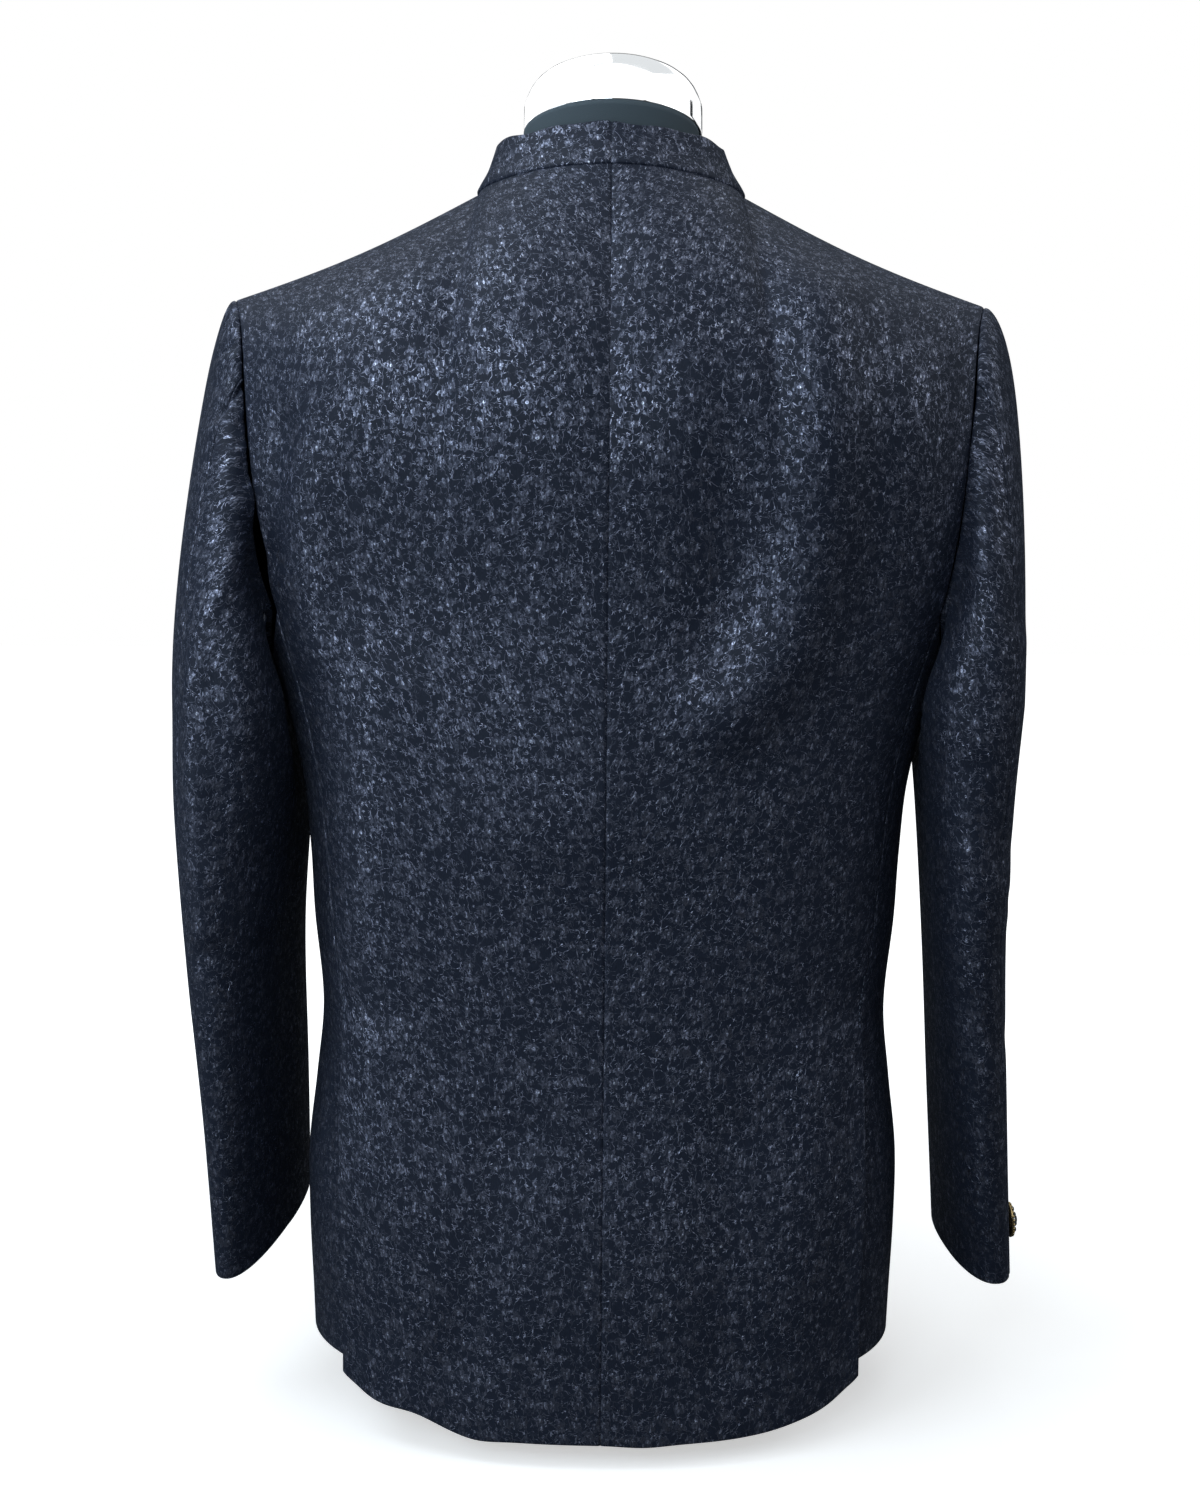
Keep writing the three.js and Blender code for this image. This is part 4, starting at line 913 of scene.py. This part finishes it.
def armhole_point(turn):
    """The armhole as a loop: down the back, under the arm and up the front."""
    share = np.clip((turn - ARM_BACK) / (ARM_FRONT - ARM_BACK), 0, 1)
    angle = mix(SIDE_SEAMS[-1][SEAM_BEHIND], SIDE_SEAMS[-1][SEAM_BEFORE], share)
    low = body_point(angle, underarm_height(angle))
    ones = np.ones_like(turn)
    back = climb_point(ones, np.clip(1 - turn / ARM_BACK, 0, 1), "back")
    front = climb_point(ones, np.clip((turn - ARM_FRONT) / (1 - ARM_FRONT), 0, 1), "front")
    point = np.where((turn <= ARM_BACK)[..., None], back, low)
    return np.where((turn >= ARM_FRONT)[..., None], front, point)


def clear_of_body(point, clear):
    """Moves a point sideways out of the body's section at its height."""
    x, y, z = point[..., 0], point[..., 1], point[..., 2]
    side = read(BODY, SIDE, z) + clear
    depth = np.where(y > 0, read(BODY, BEHIND, z), read(BODY, BEFORE, z)) + clear
    power = 2 / SQUARENESS
    share = ((np.abs(x) / side) ** power + (np.abs(y) / depth) ** power) ** (1 / power)
    moved = point.copy()
    moved[..., 0] = np.where(share < 1, x / np.maximum(share, 1e-6), x)
    return moved


def sleeve_ring(side, turn, z):
    table = SLEEVES[side]
    angle = turn * 2 * math.pi
    swing = np.radians(read(table, SWING, z))
    wide = read(table, HALF, z) * signed_power(np.cos(angle), SLEEVE_SQUARENESS)
    along = read(table, DEEP, z) * signed_power(np.sin(angle), SLEEVE_SQUARENESS)
    point = np.stack([
        read(table, OUT, z) + wide * np.cos(swing) + along * np.sin(swing),
        read(table, FORE, z) + along * np.cos(swing) - wide * np.sin(swing),
        z + 0 * turn,
    ], -1)
    return clear_of_body(point, SLEEVE_CLEAR)


def sleeve_point(side, turn, down):
    """down runs from 0 at the armhole to 1 at the cuff; turn 0.25 is the hind edge."""
    turn = turn % 1
    angle = turn * 2 * math.pi
    start = armhole_point(turn)
    end = sleeve_ring(side, turn, np.full_like(turn, float(UPPER_ARM)))
    drop = start[..., 2] - UPPER_ARM
    reach = CAP_REACH_LEAST + CAP_REACH[side] * drop
    leave = np.stack([reach * mix(CAP_SIDEWAYS, 1, np.abs(np.cos(angle))),
                      reach * CAP_FORE * np.sin(angle), -CAP_FALL * drop], -1)
    arrive = np.stack([0 * drop, 0 * drop, -ARM_PULL - ARM_PULL_SHARE * drop], -1)
    share = np.clip(down / CAP_SHARE, 0, 1)
    high = hermite(start, leave, end, arrive, share[..., None])
    high = np.where((high[..., 2] > YOKE)[..., None], high,
                    clear_of_body(high, SLEEVE_CLEAR * ease(share / 0.12)))
    share = np.clip((down - CAP_SHARE) / (1 - CAP_SHARE), 0, 1)
    low = sleeve_ring(side, turn, mix(UPPER_ARM, CUFF[side], share))
    low[..., 2] -= CUFF_SLANT[side] * np.sin(angle) * share ** 2
    return np.where((down < CAP_SHARE)[..., None], high, low)


# Creases, puckers and soft folds as seen from behind, as on the back.
SLEEVE_FOLDS = {
    "left": [
        (1.9, -2.8, (230, 633.5), (220.5, 640)), (5, 1.7, (226, 628), (219, 631)),
        (2.3, -2.8, (211, 616), (224, 597)), (2, -1.4, (214, 604), (224, 600)),
        (5, 1.6, (216, 607), (227, 588)),
        (8, 3.6, (203, 552), (208, 527), (219, 505), (227, 482), (236, 442), (233, 300)),
        (12, -5.5, (201, 533), (192, 494), (172, 403), (182, 200)),
        (8, 1.6, (214, 470), (206, 420)), (10, -1.8, (222, 380), (204, 340)),
        (9, 1.6, (226, 340), (206, 300)), (9, 1.3, (230, 250), (216, 200)),
    ],
    "right": [
        (7, 1.8, (-205, 600), (-212, 520)), (8, -1.8, (-218, 610), (-226, 540)),
        (10, -2, (-206, 500), (-214, 440)), (10, 2, (-236, 470), (-234, 330)),
        (9, -2, (-212, 400), (-230, 350)), (9, 1.8, (-208, 350), (-232, 310)),
        (9, -1.4, (-214, 260), (-236, 230)), (10, 1.4, (-226, 220), (-232, 120)),
    ],
}
GATHERS, GATHERS_DEEP = {"left": 0.75, "right": 0.1875}, 15
SLEEVE_ROUND = 560          # a little over the distance round a sleeve's head
RIPPLES = [(1, 0.62, 0), (0.6, 0.97, 1.3)]


def sleeve_folds(points, turn, side):
    """The folds of a sleeve, with the small gathers of its head."""
    behind = ease((points[..., 1] + 10) / 30)
    out = folds_at(points, SLEEVE_FOLDS[side]) * behind
    head = np.exp(-(edge_distance(points, 1, -1) / GATHERS_DEEP) ** 2)
    ripple = sum(high * np.sin(turn * SLEEVE_ROUND * often + start)
                 for high, often, start in RIPPLES)
    over = ease((np.cos((turn - 0.03) * 2 * math.pi) + 0.1) / 0.6)
    return out + GATHERS[side] * ripple * head * over


for side, mirrored in SIDES:
    for part, low, high, length, uv_start, flat, area in (
            ("top", FOREARM_SEAM - 1, HIND_SEAM, 230, 4.0, (0.175, 0.6), 0.086),
            ("under", HIND_SEAM, FOREARM_SEAM, 180, 4.4, (0.16, 0.56), 0.075)):
        turn, down = panel_grid(mix(low, high, fine_steps(length, CLOTH_STEP)),
                                1 - fine_steps(640, CLOTH_STEP, False))
        points, out = on_its_side(sleeve_point(side, turn, down), mirrored, -1)
        lift = (seam_roll(points, 0, 0) + seam_roll(points, 0, -1)
                + seam_roll(points, 1, -1, 1.4, 3.4))
        lift += sleeve_folds(points, turn, side)
        jacket_piece(f"sleeve_{part}_{side}", points + out * lift[..., None], mirrored,
                     uv_start + (1.2 if mirrored else 0), flat, area)

# ---------- The jewelled buttons ----------
# Gilt domes on short shanks, with a beaded rim and clear stones set round a larger one:
# six down the front and one on the outer edge of each cuff.

BUTTON_PROFILE = [(0, 0.8), (3, 0.8), (3, 2.3), (10.3, 3.1), (11, 3.7), (11, 4.3), (9.9, 5.0),
                  (5.4, 5.7), (0, 5.9)]
RING_STONES, RING_RADIUS, RING_HEIGHT, RING_STONE = 8, 6.7, 5.3, (2.15, 1.9)
CENTRE_HEIGHT, CENTRE_STONE, CENTRE_SIDES = 5.7, (3.7, 3.1), 10
BEADS, BEAD_RADIUS, BEAD_RING, BEAD_HEIGHT = 24, 1.05, 9.9, 4.9
CUFF_BUTTON_TURN, CUFF_BUTTON_DOWN = 0.03, 0.966


def metal_material(name, colour, low, high):
    material, n, shader = new_material(name)
    shader.inputs["Metallic"].default_value = 1
    place = n.place()
    worn = n.noise(place, 700, 3.0, 0.6, "3D")
    n.link(n.blend(worn, colour, tuple(c * 0.8 for c in colour[:3]) + (1,)),
           shader.inputs["Base Color"])
    n.link(n.smooth(worn, 0.3, 0.7, low, high), shader.inputs["Roughness"])
    return material


GILT = metal_material("gilt metal", (0.83, 0.62, 0.30, 1), 0.16, 0.34)
STONE = metal_material("foiled crystal", (0.93, 0.95, 0.98, 1), 0.02, 0.06)


def spun(bm, profile, steps):
    """Turns a profile of radius and height into a closed solid round the Z axis."""
    corners = [bm.verts.new((radius, 0, height)) for radius, height in profile]
    sides = [bm.edges.new(pair) for pair in zip(corners, corners[1:])]
    bmesh.ops.spin(bm, geom=corners + sides, axis=(0, 0, 1), cent=(0, 0, 0),
                   angle=2 * math.pi, steps=steps, use_merge=True)
    bmesh.ops.remove_doubles(bm, verts=bm.verts, dist=1e-5)


def stone(bm, radius, high, place, sides=8):
    """A cut stone: a flat table on a faceted crown."""
    before = set(bm.faces)
    for low, top, r0, r1 in ((0, 0.45, 1, 0.98), (0.45, 1, 0.98, 0.52)):
        bmesh.ops.create_cone(
            bm, cap_ends=True, segments=sides, radius1=radius * r0, radius2=radius * r1,
            depth=high * (top - low),
            matrix=Matrix.Translation(Vector(place) + Vector((0, 0, high * (low + top) / 2))))
    for face in set(bm.faces) - before:
        face.material_index = 1


bm = bmesh.new()
spun(bm, BUTTON_PROFILE, 36)
for i in range(BEADS):
    turned = 2 * math.pi * i / BEADS
    bmesh.ops.create_icosphere(bm, subdivisions=1, radius=BEAD_RADIUS, matrix=Matrix.Translation(
        (BEAD_RING * math.cos(turned), BEAD_RING * math.sin(turned), BEAD_HEIGHT)))
for face in bm.faces:
    face.smooth = True
for i in range(RING_STONES):
    turned = 2 * math.pi * i / RING_STONES
    stone(bm, *RING_STONE,
          (RING_RADIUS * math.cos(turned), RING_RADIUS * math.sin(turned), RING_HEIGHT))
stone(bm, *CENTRE_STONE, (0, 0, CENTRE_HEIGHT), CENTRE_SIDES)
bmesh.ops.recalc_face_normals(bm, faces=bm.faces)
bmesh.ops.scale(bm, vec=(MM, MM, MM), verts=bm.verts)
button_pattern = bm


def jewel_button(node, place, out):
    button = button_pattern.copy()
    button.transform(Matrix.Translation(Vector(place) * MM)
                     @ Vector(out).to_track_quat("Z", "Y").to_matrix().to_4x4())
    mesh = mesh_of(button, node + "_jewel")
    mesh.materials.append(GILT)
    mesh.materials.append(STONE)
    add_piece(node + "_jewel", mesh, "jewelled_metal", node)


def point_and_out(surface, a, b, sign):
    """A point of a surface, and the way out of it there."""
    step = 0.002
    grid = np.meshgrid([a - step, a, a + step], [b - step, b, b + step], indexing="ij")
    points = surface(*grid)
    return points[1, 1], surface_out(points, sign)[1, 1]


for i in range(FRONT_BUTTON_COUNT):
    up = float(up_at(1.0, FRONT_BUTTON_TOP - i * FRONT_BUTTON_STEP, front_panel))
    _, out = point_and_out(front_panel, 0.99, up, 1)
    place = front_panel(np.array([1.0]), np.array([up]))[0]
    jewel_button(f"button_front_{i + 1}", place, Vector((0, out[1], out[2])).normalized())
for side, sign in (("left", 1), ("right", -1)):
    place, out = point_and_out(lambda turn, down: sleeve_point(side, turn, down),
                               CUFF_BUTTON_TURN, CUFF_BUTTON_DOWN, 1)
    place, out = place * (sign, 1, 1), out * (sign, 1, 1)
    jewel_button(f"button_cuff_{side}", place, out)

# ---------- The waistcoat ----------
# Plain suiting under the jacket: a back cut in one, two fronts with a V neck, and five
# horn buttons. The jacket hides it while it is buttoned.

WAISTCOAT_WALL, WAISTCOAT_STEP, WAISTCOAT_BUTTONS = 1.5, 6.0, 5
WAISTCOAT_BACK_IN, WAISTCOAT_FRONT_IN, WAISTCOAT_SHOULDER_IN, WAISTCOAT_DIP = 9, 11, 6, 2.6
WAISTCOAT_LAP, WAISTCOAT_LAP_SHARE = 12, 0.025
CLOSES_IN_FROM, CLOSES_IN_RUN = 560, 90     # the height where it nears the shoulder's depth
WAISTCOAT_HEMS = {"back": 165, "front": 150}
WAISTCOAT_ARMHOLE, V_NECK, ARM_LOW, ARM_HIGH = 430, 0.44, 0.82, 0.74


def waistcoat_point(across, up, face):
    back = face == "back"
    climb = climb_of(up)
    inner = 0 if back else V_NECK * climb
    share = mix(inner, mix(ARM_LOW, ARM_HIGH, ease(climb)), across)
    high = climb_point(np.abs(share), climb, face)
    high[..., 0] *= np.where(share < 0, -1, 1)
    seam = SIDE_SEAMS[-1][SEAM_BEHIND if back else SEAM_BEFORE]
    z = mix(WAISTCOAT_HEMS[face], YOKE, np.minimum(up / YOKE_UP, 1))
    narrow = ease((z - WAISTCOAT_ARMHOLE) / (YOKE - WAISTCOAT_ARMHOLE))
    width = mix(90, (seam if back else 180 - seam) * ARM_LOW, narrow)
    low = body_point(width * across if back else 180 - width * across, z)
    point = np.where((up > YOKE_UP)[..., None], high, low)
    sunk = mix(WAISTCOAT_BACK_IN if back else WAISTCOAT_FRONT_IN, WAISTCOAT_SHOULDER_IN,
               ease((point[..., 2] - CLOSES_IN_FROM) / CLOSES_IN_RUN))
    return point, sunk


def suiting_material():
    material, n, shader = new_material("navy suiting")
    cloth = n.cloth_map()
    x, y, _ = n.split(n.scale(cloth, 5200))
    over = n.times(n.math("SINE", x), n.math("SINE", y))
    slub = n.noise(n.vector("MULTIPLY", cloth, (1.0, 0.1, 1.0)), 900, 2.0)
    shade = n.plus(n.times(n.smooth(over, -0.6, 0.6), 0.5), n.times(slub, 0.5))
    n.link(n.blend(shade, (0.006, 0.008, 0.014, 1), (0.02, 0.026, 0.045, 1)),
           shader.inputs["Base Color"])
    shader.inputs["Roughness"].default_value = 0.85
    n.bump(shade, shader, 0.4, 0.0002)
    return material


SUITING = suiting_material()


def waistcoat_piece(part, cloth, points, flip, uv_start, flat, area):
    cloth_piece(cloth, points, flip, WAISTCOAT_WALL, [SUITING, LINING], (uv_start, 0.0),
                flat, area, f"waistcoat_{part}", slot="suiting")


across, up = panel_grid(np.linspace(-1, 1, 97), fine_steps(620, WAISTCOAT_STEP, False, False))
points, sunk = waistcoat_point(np.abs(across), up, "back")
points[..., 0] *= np.where(across < 0, -1, 1)
points = points - surface_out(points, 1) * sunk[..., None]
waistcoat_piece("back", "waistcoat_back_cloth", points, True, 0.0, (0.5, 0.6), 0.238)
for side, mirrored in SIDES:
    columns = np.concatenate([np.linspace(0, 1, 44), [1 + WAISTCOAT_LAP_SHARE / 2,
                                                      1 + WAISTCOAT_LAP_SHARE]])
    across, up = panel_grid(columns, fine_steps(600, WAISTCOAT_STEP, False, False))
    points, sunk = waistcoat_point(1 - across, up, "front")
    points, out = on_its_side(points, mirrored)
    lift = -sunk + (lap_dip(-points[..., 0], WAISTCOAT_LAP, WAISTCOAT_DIP) if mirrored else 0)
    waistcoat_piece(f"front_{side}", f"waistcoat_front_cloth_{side}",
                    points + out * lift[..., None], not mirrored, 0.7, (0.24, 0.6), 0.11)

horn, n, shader = new_material("dark horn")
place = n.place()
cloud = n.noise(place, 90, 4.0, 0.6, "3D")
n.link(n.blend(n.smooth(cloud, 0.35, 0.7), (0.012, 0.010, 0.010, 1), (0.075, 0.052, 0.036, 1)),
       shader.inputs["Base Color"])
n.link(n.smooth(n.noise(place, 500, 2.0, 0.5, "3D"), 0.3, 0.7, 0.25, 0.4),
       shader.inputs["Roughness"])
for i in range(WAISTCOAT_BUTTONS):
    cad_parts[f"button_waistcoat_{i + 1}"].material_slots[0].material = horn

# ---------- The dress form and its neck cap ----------
# A hard torso covered in slate jersey, cut off flat below the hem, with a polished metal
# cap on its neck.

FORM_SIDE, FORM_BEHIND, FORM_BEFORE, FORM_POWER, FORM_TIP = 1, 2, 3, 4, 5
FORM = [                    # height, half width, depth behind and before, power, tip
    (0, 140, 86, 72, 2.2, 0), (5, 152, 98, 84, 2.2, 0), (20, 162, 110, 94, 2.3, 0),
    (50, 166, 112, 96, 2.3, 0), (110, 169, 110, 95, 2.3, 0), (160, 168, 104, 93, 2.3, 0),
    (245, 159, 86, 89, 2.3, 0), (320, 164, 79, 91, 2.3, 0), (385, 166, 83, 96, 2.3, 0),
    (440, 174, 90, 103, 2.3, 0), (487, 180, 95, 106, 2.3, 0), (540, 182, 97, 100, 2.2, 0),
    (590, 180, 92, 84, 2, 0), (630, 172, 76, 64, 1.7, 0), (652, 158, 62, 50, 1.5, 0),
    (680, 112, 50, 42, 1.5, 0), (702, 84, 44, 40, 1.7, 0), (722, 60, 40, 40, 2, 3),
    (745, 53, 42, 48, 2, 9), (766, 52, 47, 57, 2, 14),
]
CAP_BACK, CAP_X = -5, -1
CAP_PROFILE = [(0, 0.3), (51.6, 0.3), (52.6, 0.6), (53, 1.3), (53, 2.5), (53, 10), (53, 17.5),
               (52.8, 18.6), (52.2, 20.4), (51.2, 23.2), (49.8, 26.2), (47.6, 29.3), (44.6, 32.0),
               (41, 34.1), (36, 35.7), (30, 36.8), (22, 37.7), (12, 38.3), (0, 38.5)]

heights = np.concatenate([np.linspace(0, 660, 111), np.linspace(662, 766, 53)])
turn, z = panel_grid(np.linspace(0, 2 * math.pi, 129), heights)
cos = np.cos(turn)
section = 2 / read(FORM, FORM_POWER, z)
depth = np.where(cos > 0, read(FORM, FORM_BEHIND, z), read(FORM, FORM_BEFORE, z))
x = read(FORM, FORM_SIDE, z) * signed_power(np.sin(turn), section)
y = depth * signed_power(cos, section)
points = np.stack([x, y, z + y * np.tan(np.radians(read(FORM, FORM_TIP, z)))], -1)
bm = bmesh.new()
bm.from_mesh(grid_mesh("form_cover", points, True))
bmesh.ops.remove_doubles(bm, verts=bm.verts, dist=1e-6)
bmesh.ops.holes_fill(bm, edges=[e for e in bm.edges if e.is_boundary], sides=0)
form_mesh = mesh_of(bm, "form_cover")
jersey, n, shader = new_material("slate jersey")
wales = n.voronoi(n.vector("MULTIPLY", n.cloth_map(), (1.0, 0.6, 1.0)), 1400, 0.35)
n.link(n.blend(wales.outputs["Distance"], (0.10, 0.135, 0.16, 1), (0.07, 0.098, 0.12, 1)),
       shader.inputs["Base Color"])
shader.inputs["Roughness"].default_value = 0.8
n.bump(wales.outputs["Distance"], shader, 0.35, 0.0002)
form_mesh.materials.append(jersey)
add_piece("form_cover", form_mesh, "form_cover", "form_torso")

bm = bmesh.new()
spun(bm, CAP_PROFILE, 128)
bmesh.ops.scale(bm, vec=(MM, MM, MM), verts=bm.verts)
bmesh.ops.recalc_face_normals(bm, faces=bm.faces)
tip = math.radians(FORM[-1][FORM_TIP])
foot = Vector((CAP_X, CAP_BACK, FORM[-1][0] + CAP_BACK * math.tan(tip))) * MM
bm.transform(Matrix.Translation(foot) @ Matrix.Rotation(tip, 4, "X"))
cap_mesh = mesh_of(bm, "cap_shell")
cap_mesh.shade_smooth()
chrome, n, shader = new_material("polished chrome")
shader.inputs["Metallic"].default_value = 1
shader.inputs["Base Color"].default_value = (0.86, 0.87, 0.88, 1)
place = n.place()
n.link(n.smooth(n.noise(place, 60, 3.0, 0.5, "3D"), 0.3, 0.8, 0.06, 0.16),
       shader.inputs["Roughness"])
cap_mesh.materials.append(chrome)
cap = add_piece("cap_shell", cap_mesh, "cap_metal", "neck_cap")

# ---------- The studio ----------
# A plain pale floor, soft light from the upper left and a camera behind the jacket.

bm = bmesh.new()
bmesh.ops.create_grid(bm, x_segments=1, y_segments=1, size=6)
floor_mesh = mesh_of(bm, "floor")
floor = bpy.data.objects.new("floor", floor_mesh)
bpy.context.scene.collection.objects.link(floor)
paper, n, shader = new_material("white paper")
shader.inputs["Roughness"].default_value = 0.9
place = n.place()
seen = n.blend(n.noise(place, 40, 2.0, 0.5, "3D"), (0.95, 0.95, 0.95, 1), (0.99, 0.99, 0.99, 1))
rays = n.add("ShaderNodeLightPath")
n.link(n.blend(rays.outputs["Is Camera Ray"], (0.05, 0.05, 0.05, 1), seen),
       shader.inputs["Base Color"])
shader.inputs["Emission Color"].default_value = (1, 1, 1, 1)
x, y, _ = n.split(place)
away = n.math("SQRT", n.plus(n.times(x, x), n.times(y, y)))
n.link(n.times(n.smooth(away, 0.2, 0.9, 0.55, 1.0), rays.outputs["Is Camera Ray"]),
       shader.inputs["Emission Strength"])
floor_mesh.materials.append(paper)

world = bpy.data.worlds.new("studio")
bpy.context.scene.world = world
world.use_nodes = True
n = Nodes(world.node_tree)
background = world.node_tree.nodes["Background"]
rays = n.add("ShaderNodeLightPath")
side, _, up = n.split(n.add("ShaderNodeTexCoord").outputs["Generated"])
around = n.smooth(side, -0.9, 0.9, 0.03, 0.08)
n.link(n.blend(rays.outputs["Is Camera Ray"], around, 1.0, "FLOAT"), background.inputs["Strength"])
n.link(n.blend(rays.outputs["Is Camera Ray"], (0.82, 0.92, 1.0, 1), (1.0, 1.0, 1.0, 1)),
       background.inputs["Color"])


def area_light(name, place, target, size, power, colour=(1, 1, 1)):
    data = bpy.data.lights.new(name, "AREA")
    data.shape = "RECTANGLE"
    data.size, data.size_y = size
    data.energy = power
    data.color = colour
    light = bpy.data.objects.new(name, data)
    bpy.context.scene.collection.objects.link(light)
    light.location = place
    light.rotation_euler = (Vector(target) - Vector(place)).to_track_quat("-Z", "Y").to_euler()
    return light


DAYLIGHT = (0.80, 0.91, 1.0)
area_light("window", (0.3, 1.5, 1.0), (0.0, 0.0, 0.9), (0.5, 0.5), 4.2, DAYLIGHT)
area_light("window beside", (0.75, 0.95, 0.93), (0.0, 0.0, 0.8), (0.5, 0.7), 3.6, DAYLIGHT)
area_light("window low", (1.2, 0.45, 0.35), (0.0, 0.0, 0.25), (0.5, 0.5), 1.7, DAYLIGHT)
area_light("skylight", (1.24, 0.22, 2.3), (0.0, 0.0, 0.5), (1.2, 1.2), 12.5, DAYLIGHT)
area_light("far wall", (-1.96, 0.35, 1.43), (0.0, 0.0, 0.5), (1.2, 1.2), 6.1, (0.9, 0.95, 1.0))
area_light("ceiling", (0.0, 0.0, 4.0), (0.0, 0.0, 0.0), (9, 9), 124, (0.94, 0.98, 1.0))

# White cards and ceiling panels that only the polished cap mirrors.
cards = bpy.data.collections.new("mirrored in the cap")
cards.objects.link(cap)
CARD_GLOW = 1.25
for name, place, target, size, glow in (
        ("card near", (0, 1.9, 2.0), (0, 0, 1.2), (3.4, 2.6), 1),
        ("card left", (1.7, 0.0, 1.6), (0, 0, 1.1), (3.8, 2.2), 1),
        ("card right", (-1.7, 0.3, 1.6), (0, 0, 1.1), (3.0, 2.2), 1),
        ("card far left", (1.1, -1.6, 1.5), (0, 0, 1.1), (1.6, 1.8), 1),
        ("card far right", (-1.2, -1.6, 1.5), (0, 0, 1.1), (1.2, 1.8), 0.9),
        ("panels near", (0, 2.0, 3.0), (0, 2.0, 0), (9, 3.4), 1),
        ("panel far", (1.0, -1.9, 3.0), (1.0, -1.9, 0), (1.9, 4.2), 1),
        ("panel far right", (-4.0, -1.9, 3.0), (-4.0, -1.9, 0), (2.8, 4.2), 1),
        ("ceiling behind", (0, 0, 3.3), (0, 0, 0), (10, 10), 0.3)):
    card = area_light(name, place, target, size, CARD_GLOW * glow * math.pi * size[0] * size[1])
    card.visible_camera = False
    card.light_linking.receiver_collection = cards

camera_data = bpy.data.cameras.new("camera")
camera_data.sensor_width = 36
camera_data.sensor_fit = "AUTO"
camera_data.lens = 47.14
camera = bpy.data.objects.new("camera", camera_data)
bpy.context.scene.collection.objects.link(camera)
camera.location = (0.0036, 1.2, 0.552)
PITCH, ROLL = 7.25, 0.5
camera.rotation_euler = (Matrix.Rotation(math.pi, 3, "Z")
                         @ Matrix.Rotation(math.radians(90 - PITCH), 3, "X")
                         @ Matrix.Rotation(math.radians(ROLL), 3, "Z")).to_euler()
bpy.context.scene.camera = camera
bpy.context.scene.view_settings.view_transform = "Standard"
